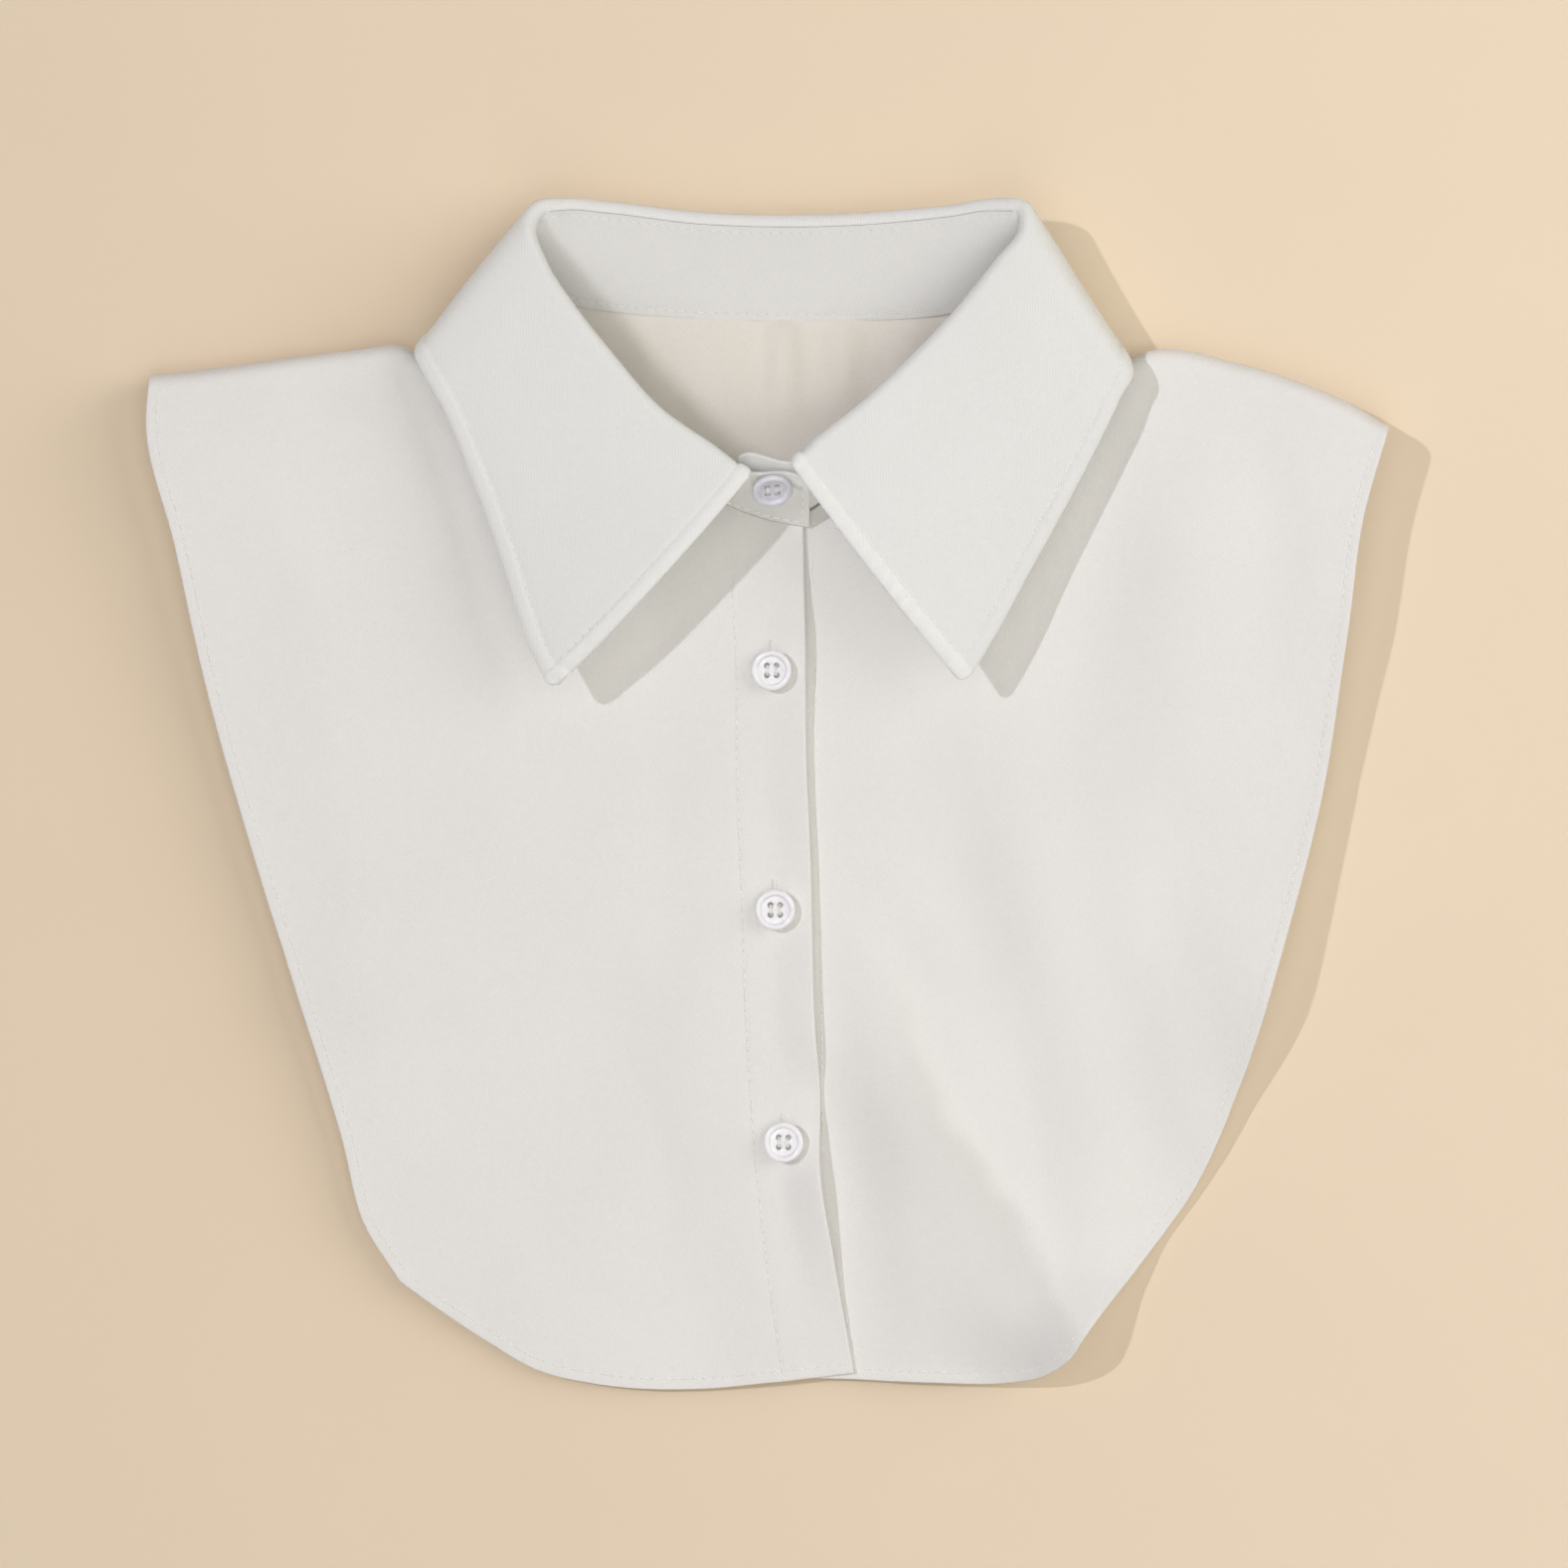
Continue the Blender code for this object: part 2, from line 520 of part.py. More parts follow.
def make_placket(collection):
    """Make the buttonhole band along the upper front's free edge."""
    shares = np.linspace(0, 1, PLACKET_ROWS + 1)
    lengths, _ = collar_rows()
    neck = neck_line(lengths[0] + STAND_END_INSET, PLACKET_NECK_PLACE - SEAM_GAP, -SEAM_GAP)[::-1]
    left = np.array(PLACKET_SEAM[::-1], float)
    left[-1] = neck[0]
    right = np.array(PLACKET_EDGE[::-1], float)
    right[-1] = neck[-1]
    left_line = outline(left, shares)
    right_line = outline(right, shares)
    across = np.linspace(0, 1, len(neck))[:, None]
    hem = left_line[0] * (1 - across) + right_line[0] * across
    plan = patch(neck, hem, left_line, right_line)
    return add_sheet("placket", with_height(plan, over_height(plan)), PLACKET_WALL, collection)


def make_front_under(collection):
    """Make the lower front, from its hidden edge under the placket to its armhole edge."""
    _, right_neck = side_neck_places()
    lengths, _ = collar_rows()
    shoulder = outline(RIGHT_SHOULDER, np.linspace(0, 1, SHOULDER_COLUMNS + 1))
    neck = neck_line(right_neck, lengths[-1] - STAND_END_INSET, -SEAM_GAP)[::-1]
    shoulder_line = np.concatenate((moved_in(shoulder, -PANEL_WALL)[:-1], neck[-1:]))
    top = np.concatenate((neck, shoulder_line[::-1][1:]))
    shares = row_shares(FRONT_ROWS)
    side = outline(RIGHT_SIDE[::-1], shares)
    side = side + (top[-1] - side[-1]) * smooth_step(shares, FRONT_SIDE_BLEND, 1.0)[:, None]
    hidden = np.array(PLACKET_EDGE[::-1], float) - (UNDERLAP, 0.0)
    hidden[-1] = top[0]
    hidden[0] = RIGHT_HEM[-1]
    hidden = outline(hidden, shares)
    hem = outline(RIGHT_HEM[::-1], np.linspace(0, 1, len(top)))
    plan = patch(top, hem, hidden, side)
    height = shoulder_turn(plan, shoulder_line, front_height(plan), 1)
    return add_sheet("front_under", with_height(plan, height), PANEL_WALL, collection)


def back_height(plan):
    """Give the back panel's underside: flat on the table, raised over the leaf and at the neck."""
    x, y = plan[..., 0], plan[..., 1]
    from_hem = smooth_step(y, LEAF_COVER_START_Y, LEAF_COVER_FULL_Y)
    to_side = 1.0 - smooth_step(np.abs(x), LEAF_COVER_FULL_X, LEAF_COVER_END_X)
    height = LEAF_COVER * from_hem * to_side
    for neck_x, neck_y in NECK_CORNERS:
        distance = np.hypot(x - neck_x, y - neck_y)
        height = height + NECK_CORNER_RISE * (1.0 - smooth_step(distance, 0.0, NECK_CORNER_REACH))
    return height


def make_back(collection):
    """Make the back panel, which lies on the table and shows inside the neck."""
    left_neck, right_neck = side_neck_places()
    left_shoulder = outline(LEFT_SHOULDER, np.linspace(0, 1, SHOULDER_COLUMNS + 1))
    right_shoulder = outline(RIGHT_SHOULDER, np.linspace(0, 1, SHOULDER_COLUMNS + 1))
    neck = neck_line(left_neck, right_neck, SEAM_GAP)
    top = np.concatenate((left_shoulder[:-1], neck, right_shoulder[::-1][1:]))
    shares = row_shares(BACK_ROWS)
    left = moved_in(outline(LEFT_SIDE[::-1], shares), BACK_INSET)
    left = left + (top[0] - left[-1]) * smooth_step(shares, BACK_SIDE_BLEND, 1.0)[:, None]
    right = moved_in(outline(RIGHT_SIDE[::-1], shares), -BACK_INSET)
    right = right + (top[-1] - right[-1]) * smooth_step(shares, BACK_SIDE_BLEND, 1.0)[:, None]
    hem_points = np.concatenate((np.array(LEFT_HEM[:-2]), np.array(RIGHT_HEM[::-1][1:])))
    hem = moved_in(outline(hem_points, np.linspace(0, 1, len(top))), -BACK_INSET)
    hem[0], hem[-1] = left[0], right[0]
    plan = patch(top, hem, left, right)
    both = np.minimum(plan_distance(plan, left_shoulder), plan_distance(plan, right_shoulder))
    near = np.clip(1.0 - both / SHOULDER_TURN, 0.0, 1.0)
    seam = table_value(SHOULDER_SEAMS, plan[..., 0]) - BACK_SEAM_DROP
    base = back_height(plan)
    height = seam + (base - seam) * np.sqrt(1.0 - near ** 2)
    return add_sheet("back_panel", with_height(plan, height), PANEL_WALL, collection)


def button_mesh():
    """Make the button's solid: a turned dish with a raised rim."""
    outlines = bmesh.new()
    points = [Vector((radius, 0.0, height)) * METRES_PER_MM for radius, height in BUTTON_PROFILE]
    corners = [outlines.verts.new(point) for point in points]
    for first, second in zip(corners, corners[1:]):
        outlines.edges.new((first, second))
    mesh = bpy.data.meshes.new("button")
    outlines.to_mesh(mesh)
    outlines.free()
    return mesh


def make_hole_cutter(name, place, cutters):
    """Make the four pins that cut a button's holes."""
    pins = bmesh.new()
    half = BUTTON_HOLE_SPACING / 2
    radius = BUTTON_HOLE_RADIUS * METRES_PER_MM
    length = HOLE_PIN_LENGTH * METRES_PER_MM
    for x in (-half, half):
        for y in (-half, half):
            spot = Matrix.Translation(Vector((x, y, HOLE_PIN_MIDDLE)) * METRES_PER_MM)
            bmesh.ops.create_cone(pins, cap_ends=True, segments=BUTTON_HOLE_STEPS, radius1=radius,
                                  radius2=radius, depth=length, matrix=spot)
    mesh = bpy.data.meshes.new(name)
    pins.to_mesh(mesh)
    pins.free()
    cutter = add_object(name, mesh, cutters)
    cutter.matrix_world = place
    cutter.hide_render = True
    cutter.display_type = "WIRE"
    return cutter


def make_button(name, middle, outward, upward, collection, cutters):
    """Seat a button on the cloth at middle, facing outward, with its holes square to upward."""
    outward = Vector(outward).normalized()
    across = Vector(upward).cross(outward).normalized()
    turned = Matrix((across, outward.cross(across), outward)).transposed().to_4x4()
    lifted = Vector(np.asarray(middle) + np.array(CENTRE_SHIFT))
    place = Matrix.Translation(lifted * METRES_PER_MM) @ turned
    button = add_object(name, button_mesh(), collection)
    button.matrix_world = place
    screw = button.modifiers.new("turned", "SCREW")
    screw.steps = BUTTON_STEPS
    screw.render_steps = BUTTON_STEPS
    screw.use_merge_vertices = True
    screw.merge_threshold = 0.00001
    holes = button.modifiers.new("holes", "BOOLEAN")
    holes.operation = "DIFFERENCE"
    holes.solver = "EXACT"
    holes.object = make_hole_cutter(name + "_holes", place, cutters)
    button.data.materials.append(cloth_material(name + "_resin", BUTTON_WHITE, 0.18))
    return button


def button_seat(x, y):
    """Give the middle and the upward normal of the placket's top under a button."""
    angles = np.linspace(0.0, 2 * math.pi, BUTTON_SEAT_STEPS, endpoint=False)
    ring = BUTTON_RADIUS * np.stack((np.cos(angles), np.sin(angles)), axis=1)
    heights = over_height(ring + (x, y))
    slope = 2 * np.mean(heights[:, None] * ring, axis=0) / BUTTON_RADIUS ** 2
    normal = unit((-slope[0], -slope[1], 1.0))
    highest = np.max(heights - ring @ slope)
    return np.array((x, y, highest)) + normal * PLACKET_WALL, normal


def make_buttons(collection, cutters):
    """Make the three buttons on the placket and the one on the stand's end."""
    for name, x, y in PLACKET_BUTTONS:
        middle, normal = button_seat(x, y)
        make_button(name, middle + normal * BUTTON_SEAT, normal, (0.0, 1.0, 0.0), collection, cutters)
    lengths, rows = collar_rows()
    first = len(STAND_OUTER_END) + 1
    middles = (rows[:first, 0] + rows[:first, 3]) / 2
    place = np.interp(-NECK_BUTTON_X, -middles, lengths[:first])
    fold, seam, upward, outward = roll_frame(np.array([place]))
    top = fold[0] - (ROLL_RADIUS + COLLAR_WALL + STAND_TOP_GAP) * upward[0]
    middle = seam[0] + (top - seam[0]) * NECK_BUTTON_SHARE
    middle = middle + outward[0] * NECK_BUTTON_SHANK
    tilt = math.radians(NECK_BUTTON_TILT)
    facing = outward[0] * math.cos(tilt) + upward[0] * math.sin(tilt)
    rising = upward[0] * math.cos(tilt) - outward[0] * math.sin(tilt)
    make_button("button_neck", middle, facing, rising, collection, cutters)


def build():
    """Make the whole garment."""
    for leftover in list(bpy.data.objects):
        bpy.data.objects.remove(leftover, do_unlink=True)
    collection = bpy.data.collections.new(COLLECTION_NAME)
    bpy.context.scene.collection.children.link(collection)
    cutters = bpy.data.collections.new(CUTTERS_NAME)
    bpy.context.scene.collection.children.link(cutters)
    make_back(collection)
    make_front_under(collection)
    make_front_over(collection)
    make_placket(collection)
    add_sheet("collar_stand", stand_grid(), COLLAR_WALL, collection)
    add_sheet("collar_leaf", leaf_grid(), COLLAR_WALL, collection)
    make_buttons(collection, cutters)


build()
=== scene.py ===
"""The look of a detachable shirt collar laid flat: its cloth, stitches, buttons, light and camera.

Sizes and places are in millimetres along the frame's axes, and become metres when a mesh is made.
+X is to the right of the laid garment, +Y runs from its hem to its collar and +Z is up from the table.
"""

import math

import bmesh
import bpy
import numpy as np
from mathutils import Matrix, Vector


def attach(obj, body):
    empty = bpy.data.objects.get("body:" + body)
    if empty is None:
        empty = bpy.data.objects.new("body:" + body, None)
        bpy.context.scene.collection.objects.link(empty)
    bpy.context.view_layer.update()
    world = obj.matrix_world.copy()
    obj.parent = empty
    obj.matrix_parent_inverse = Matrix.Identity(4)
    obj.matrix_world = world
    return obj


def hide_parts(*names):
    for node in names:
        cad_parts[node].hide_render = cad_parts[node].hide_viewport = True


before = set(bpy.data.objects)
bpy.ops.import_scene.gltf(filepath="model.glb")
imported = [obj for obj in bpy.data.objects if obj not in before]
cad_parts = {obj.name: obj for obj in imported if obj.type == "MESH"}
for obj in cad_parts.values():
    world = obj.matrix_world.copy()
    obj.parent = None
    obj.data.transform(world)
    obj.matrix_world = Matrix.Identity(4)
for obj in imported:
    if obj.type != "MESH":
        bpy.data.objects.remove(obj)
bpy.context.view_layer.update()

METRES_PER_MM = 0.001
CENTRE_SHIFT = np.array((-0.19, -0.37, 0.0))

# The solids' walls and gaps, which place each layer of cloth
PANEL_WALL = 1.2
PLACKET_WALL = 1.3
COLLAR_WALL = 1.2
SEAM_GAP = 0.4
LAYER_STEP = PANEL_WALL + SEAM_GAP

# The fold of the leaf over the stand, and the lowest that the leaf comes
ROLL_RADIUS = 1.6
LEAF_REST = COLLAR_WALL + 0.15

# The closure, the shoulder folds and the back panel, as the solids have them
UNDERLAP = 17.8
RAMP_LENGTH = 28.0
PLACKET_NECK_PLACE = 4.0
PLACKET_FREE_LENGTH = 12.0
STAND_END_INSET = 1.4
STAND_END_RADIUS = 7.0
SHOULDER_TURN = 7.0
FRONT_TURN = 3.6
BACK_SEAM_DROP = 0.6
BACK_INSET = 5.0
LEAF_COVER = 2.1
LEAF_COVER_START_Y = 100.0
LEAF_COVER_FULL_Y = 114.0
LEAF_COVER_FULL_X = 104.0
LEAF_COVER_END_X = 124.0
NECK_CORNERS = ((-72.0, 142.0), (76.0, 142.0))
NECK_CORNER_RISE = 1.2
NECK_CORNER_REACH = 26.0
SIDE_BLEND = 0.8
HEM_BLEND_POWER = 4
DIRECTION_STEP = 0.5

# Outlines in plan, columns x and y, corner to corner
LEFT_SHOULDER = ((-172.9, 118.0), (-159.0, 119.4), (-136.8, 122.5), (-114.5, 125.2), (-103.0, 126.2),
                 (-95.6, 123.4), (-86.0, 126.6), (-74.0, 138.8))
RIGHT_SHOULDER = ((173.9, 103.4), (163.5, 109.7), (152.3, 114.7), (130.1, 121.6), (107.9, 125.0),
                  (98.6, 121.8), (89.0, 126.4), (77.8, 138.4))
LEFT_SIDE = ((-172.9, 118.0), (-173.8, 106.0), (-165.7, 69.6), (-156.5, 27.9), (-144.8, -13.8),
             (-131.8, -55.5), (-119.0, -97.2), (-113.4, -119.4), (-103.1, -136.1))
LEFT_HEM = ((-103.1, -136.1), (-95.6, -141.6), (-79.0, -152.8), (-64.5, -161.1), (-47.8, -165.0),
            (-20.0, -166.4), (2.2, -164.4), (4.4, -164.2))
RIGHT_SIDE = ((173.9, 103.4), (166.5, 78.0), (161.8, 44.6), (155.1, 0.0), (144.3, -41.6),
              (131.5, -83.3), (119.3, -111.1), (103.1, -133.3))
RIGHT_HEM = ((103.1, -133.3), (89.5, -150.0), (83.4, -158.3), (76.5, -162.6), (68.9, -164.2),
             (44.0, -164.4), (24.5, -163.6), (6.6, -163.2))
PLACKET_SEAM = ((-11.8, 74.0), (-9.2, 46.3), (-8.7, 8.0), (-7.5, -22.9), (-5.8, -69.9),
                (-3.3, -103.8), (0.0, -133.6), (4.4, -164.2))
PLACKET_EDGE = ((10.0, 74.6), (10.6, 48.0), (11.0, 8.0), (12.1, -17.5), (13.6, -68.2), (14.8, -82.6),
                (14.7, -103.8), (18.6, -129.4), (24.4, -161.8))

# How high the placket's free edge stands off the lower front, columns y and lift
PLACKET_LIFTS = ((80.0, 0.0), (70.0, 0.1), (58.0, 1.1), (48.0, 2.4), (21.0, 1.7), (-20.0, 1.7),
                 (-53.0, 2.1), (-72.0, 2.0), (-84.0, 0.1), (-95.0, 2.3), (-109.0, 4.2), (-121.0, 3.1),
                 (-136.0, 1.3), (-158.0, 0.1), (-170.0, 0.0))

# Height of the fronts' underside over the table, columns x, y and height
FRONT_LIFTS = (
    (1.0, 76.0, 5.2), (3.0, 36.0, 4.8), (5.0, -32.0, 3.4), (9.0, -97.0, 2.2), (14.0, -162.0, 1.7),
    (-38.0, 96.0, 6.4), (-66.0, 125.0, 6.4), (-73.0, 139.0, 6.2),
    (42.0, 97.0, 5.9), (68.0, 124.0, 6.4), (77.0, 139.0, 6.2),
    (-100.0, 119.0, 9.2), (-136.0, 116.0, 11.8), (-170.0, 112.0, 11.0),
    (-165.0, 68.0, 9.6), (-146.0, -12.0, 6.8), (-119.0, -92.0, 5.2), (-103.0, -134.0, 3.0),
    (-64.0, -159.0, 1.9), (-20.0, -164.0, 1.7), (-95.0, 10.0, 5.4), (-60.0, -80.0, 2.8),
    (100.0, 117.0, 9.6), (136.0, 114.0, 12.8), (171.0, 100.0, 16.5), (162.0, 47.0, 15.8),
    (156.0, 12.0, 11.4), (140.0, -58.0, 13.4), (131.0, -84.0, 6.8), (110.0, -123.0, 2.2),
    (99.0, -137.0, 7.4), (86.0, -152.0, 15.0), (74.0, -162.0, 8.0), (60.0, -162.0, 2.4),
    (36.0, -162.0, 1.7), (104.0, -30.0, 7.2), (60.0, 20.0, 5.6), (66.0, -100.0, 3.0),
)

# The largest soft folds of the fronts: a line in plan, the fold's half width and its height
FRONT_FOLDS = (
    ((52.0, -24.0), (80.0, -134.0), 13.0, -1.6),
    ((72.0, -18.0), (96.0, -112.0), 12.0, 1.6),
    ((-122.0, 96.0), (-92.0, 30.0), 15.0, -1.6),
    ((118.0, 84.0), (120.0, 10.0), 18.0, 1.4),
)

# Smaller soft creases of the fronts, in the same columns
SOFT_CREASES = (
    ((-150.0, 108.0), (-118.0, 72.0), 9.0, -0.5),
    ((-128.0, 60.0), (-112.0, -20.0), 11.0, 0.5),
    ((-60.0, 20.0), (-48.0, -70.0), 16.0, 0.5),
    ((-30.0, 60.0), (-22.0, -50.0), 10.0, -0.4),
    ((-88.0, -70.0), (-60.0, -128.0), 12.0, -0.5),
    ((24.0, 30.0), (34.0, -60.0), 9.0, 0.4),
    ((40.0, 50.0), (52.0, -10.0), 10.0, -0.4),
    ((100.0, 96.0), (88.0, 40.0), 10.0, -0.5),
    ((140.0, 90.0), (142.0, 30.0), 9.0, -0.5),
    ((110.0, -40.0), (104.0, -96.0), 10.0, -0.5),
    ((30.0, -90.0), (44.0, -150.0), 9.0, 0.4),
)

# Creases that fall away slowly on the left of their line and steeply on its right, columns start, end,
# width on the left, width on the right and rise
SHARP_CREASES = (
    ((6.0, -34.0), (63.0, -150.0), 30.0, 21.0, 4.2),
    ((26.0, -26.0), (86.0, -140.0), 13.0, 9.0, -2.4),
    ((-124.0, 112.0), (-108.0, 98.0), 7.0, 4.0, -1.4),
    ((-124.0, 96.0), (-112.0, -60.0), 20.0, 30.0, 2.2),
    ((-96.0, 110.0), (-80.0, 50.0), 20.0, 8.0, -1.8),
    ((-44.0, -50.0), (-34.0, -150.0), 22.0, 12.0, -1.4),
    ((120.0, 80.0), (100.0, -20.0), 18.0, 14.0, 1.3),
    ((96.0, -20.0), (120.0, -96.0), 18.0, 10.0, 1.2),
)

# Uneven waves of the laid cloth, columns wavelength, direction in degrees and rise
CREASE_END = 14.0
BACK_CLEARANCE = 0.25
CLOTH_WAVES = ((96.0, 24.0, 0.34), (63.0, 81.0, 0.2), (41.0, -38.0, 0.12), (24.0, 12.0, 0.05))

# Heights of the shoulder seams, halfway between the fronts and the back, columns x and height
SHOULDER_SEAMS = ((-175.0, 5.6), (-100.0, 5.6), (-73.0, 5.2), (76.0, 5.2), (100.0, 5.8), (175.0, 7.4))

# The collar from the wearer's right end round the back to the left end, a row a section:
# the crest of the fold, the seam at the foot of the stand and the leaf's outer edge, as x, y, z,
# then how far the leaf's middle bows up, how far it sways sideways and how fast it settles
COLLAR_SECTIONS = (
    ((-4.6, 91.0, 28.0), (-7.0, 79.2, 7.6), (-60.2, 29.3, 22.3), 2.2, 1.3, 1.0),
    ((-15.0, 98.0, 27.0), (-21.0, 86.0, 7.6), (-66.5, 42.2, 22.0), 1.6, 0.6, 1.0),
    ((-30.0, 108.8, 26.0), (-38.5, 96.0, 7.4), (-74.5, 67.0, 21.4), 1.2, 0.0, 1.0),
    ((-44.0, 125.0, 25.0), (-54.5, 112.0, 7.2), (-83.2, 91.0, 20.8), 1.0, 0.0, 1.0),
    ((-54.0, 138.0, 24.0), (-65.5, 124.5, 7.2), (-90.2, 107.8, 20.2), 0.8, 0.0, 1.0),
    ((-61.0, 149.0, 22.8), (-71.5, 133.5, 7.2), (-95.4, 117.0, 19.2), 0.6, 0.0, 1.0),
    ((-64.4, 158.4, 21.4), (-73.2, 137.6, 6.6), (-98.0, 122.8, 16.4), 0.4, 0.0, 1.0),
    ((-62.4, 164.6, 19.8), (-69.2, 141.4, 5.4), (-96.4, 125.8, 9.4), 0.0, 0.0, 1.2),
    ((-56.0, 166.2, 17.8), (-61.5, 139.2, 4.8), (-91.5, 125.2, 2.6), 0.0, 0.0, 1.8),
    ((-45.0, 165.6, 15.4), (-49.0, 136.6, 4.2), (-76.0, 122.8, 1.5), 0.0, 0.0, 2.6),
    ((-18.0, 162.6, 13.0), (-18.0, 133.8, 3.5), (-30.0, 120.2, 1.4), 0.0, 0.0, 3.0),
    ((20.0, 162.1, 13.0), (18.0, 133.4, 3.5), (34.0, 119.8, 1.4), 0.0, 0.0, 3.0),
    ((50.0, 164.4, 16.6), (50.0, 135.2, 4.3), (80.0, 121.8, 1.5), 0.0, 0.0, 2.6),
    ((63.0, 165.8, 20.4), (65.5, 139.2, 5.0), (93.4, 124.0, 2.8), 0.0, 0.0, 1.8),
    ((69.8, 164.4, 23.0), (73.4, 141.0, 5.6), (98.2, 124.4, 10.2), 0.0, 0.0, 1.2),
    ((69.8, 158.8, 24.2), (76.8, 137.2, 6.6), (101.2, 119.0, 18.2), 0.4, 0.0, 1.0),
    ((62.6, 149.0, 25.0), (73.0, 130.0, 7.2), (97.8, 110.2, 21.4), 0.6, 0.0, 1.0),
    ((52.6, 136.4, 26.0), (62.5, 118.5, 7.2), (90.8, 95.6, 22.0), 0.8, 0.0, 1.0),
    ((39.4, 122.2, 26.8), (48.0, 105.0, 7.0), (81.5, 78.0, 22.0), 1.0, 0.0, 1.0),
    ((26.0, 109.8, 27.4), (33.0, 93.5, 6.6), (71.5, 59.8, 22.0), 1.2, 0.0, 1.0),
    ((13.6, 100.0, 28.0), (18.5, 84.6, 6.2), (62.5, 43.3, 22.4), 1.4, 0.0, 1.0),
    ((6.5, 94.0, 28.6), (9.0, 79.0, 6.0), (54.6, 30.5, 22.8), 1.6, -0.8, 1.0),
)
LEFT_NECK_SECTION = 6
RIGHT_NECK_SECTION = 15

# The stand's two ends past the leaf, as crest and seam: the outer end and the hidden inner end
STAND_OUTER_END = (((11.8, 91.2, 27.6), (11.6, 74.8, 7.9)), ((4.0, 91.4, 27.8), (3.0, 76.2, 7.8)))
STAND_INNER_END = (((-1.0, 95.6, 28.6), (0.5, 79.6, 6.0)), ((-8.6, 98.2, 28.2), (-7.5, 82.0, 6.0)))

# Where each layer of cloth lies over its solid's underside, as bottom and top
BACK_LAYER = (0.05, 0.85)
UNDER_LAYER = (0.55, 1.15)
OVER_LAYER = (0.35, 0.95)
PLACKET_LAYER = (0.05, 0.95)
LEAF_LAYER = (0.1, 1.1)
STAND_LAYER = (0.1, 1.1)
STAND_TOP_GAP = 0.02

# Turned hems: the stitch line's distance from the edge, and how the stitches draw the cloth in
HEM_STITCH = 2.9
HEM_RISE = 0.22
GROOVE_DEPTH = 0.2
GROOVE_HALF = 0.62
PUCKER_WAVE = 9.0
PUCKER_RISE = 0.2
PUCKER_REACH = 2.6
LEAF_STITCH = 4.5
LEAF_GROOVE = 0.3
LEAF_GROOVE_HALF = 0.5
LEAF_RIDGE = 0.36
LEAF_PUCKER_RISE = 0.9
LEAF_PUCKERS = (0.16, 0.2, 0.8)
LEAF_PUCKER_WAVE = 4.9
SEAM_STITCH = 2.1
TOP_STITCH = 1.7
STAND_THINNING = 0.3
FRONT_NECK_TUCK = 0.3
UNDER_SEAM = ((12.2, 76.0), (12.8, 50.0), (13.5, 27.0), (14.0, -10.0), (15.0, -60.0), (15.6, -101.0),
              (16.4, -114.0), (20.0, -138.0), (26.0, -161.0))

# Stitches: thread radius, length of one and distance from one to the next
THREAD_RADIUS = 0.18
STITCH_LENGTH = 2.2
STITCH_PITCH = 2.8
# Flat discs of painted shade at the needle holes: radius, sides and lift off the cloth
HOLE_RADIUS = 0.16
HOLE_SIDES = 8
HOLE_LIFT = 0.05
STITCH_SIDES = 6
STITCH_RINGS = ((-1.0, 0.25, -0.9), (-0.72, 0.85, 0.0), (0.0, 1.0, 0.35), (0.72, 0.85, 0.0), (1.0, 0.25, -0.9))

# Buttons: a pressed four-hole button, and where each one's middle lies, columns name, x and y
BUTTON_PROFILE = ((0.0, 1.5), (2.8, 1.5), (3.5, 1.44), (3.8, 1.36), (3.95, 1.42), (4.05, 1.8), (4.2, 2.22),
                  (4.5, 2.4), (5.0, 2.42), (5.4, 2.28), (5.66, 1.9), (5.7, 1.5), (5.6, 1.1), (5.3, 0.72), (4.6, 0.34),
                  (3.6, 0.08), (2.4, 0.0), (0.0, 0.0))
BUTTON_STEPS = 72
BUTTON_RADIUS = 5.7
BUTTON_HOLE_RADIUS = 0.85
BUTTON_HOLE_SPACING = 2.7
BUTTON_HOLE_STEPS = 24
BUTTON_SEAT_STEPS = 12
BUTTON_SEAT = 0.35
HOLE_PIN_LENGTH = 8.0
PLACKET_BUTTONS = (("button_1", 1.7, 35.2), ("button_2", 2.5, -31.8), ("button_3", 5.0, -97.0))
NECK_BUTTON_SHANK = 1.0
NECK_BUTTON_X = 0.6
NECK_BUTTON_SHARE = 0.80
NECK_BUTTON_TILT = 10.0

# The finest step between lines of a cloth grid, and the lines kept close to a rounded edge
CLOTH_STEP = 1.9
EDGE_LINES = (0.0, 0.06, 0.18, 0.38, 0.8, 1.5, 2.2, 2.6, 2.9, 3.2, 3.7, 4.4, 5.2)

UP = np.array([0.0, 0.0, 1.0])


def smooth_step(value, low, high):
    """Go from 0 at low to 1 at high with level ends."""
    share = np.clip((np.asarray(value, float) - low) / (high - low), 0.0, 1.0)
    return share * share * (3.0 - 2.0 * share)


def bell(value, half_width):
    """Give a smooth bump of height 1 at 0."""
    return np.exp(-(np.asarray(value, float) / half_width) ** 2)


def unit(vectors):
    """Scale one vector or an array of vectors to length 1."""
    vectors = np.asarray(vectors, float)
    return vectors / np.linalg.norm(vectors, axis=-1, keepdims=True)


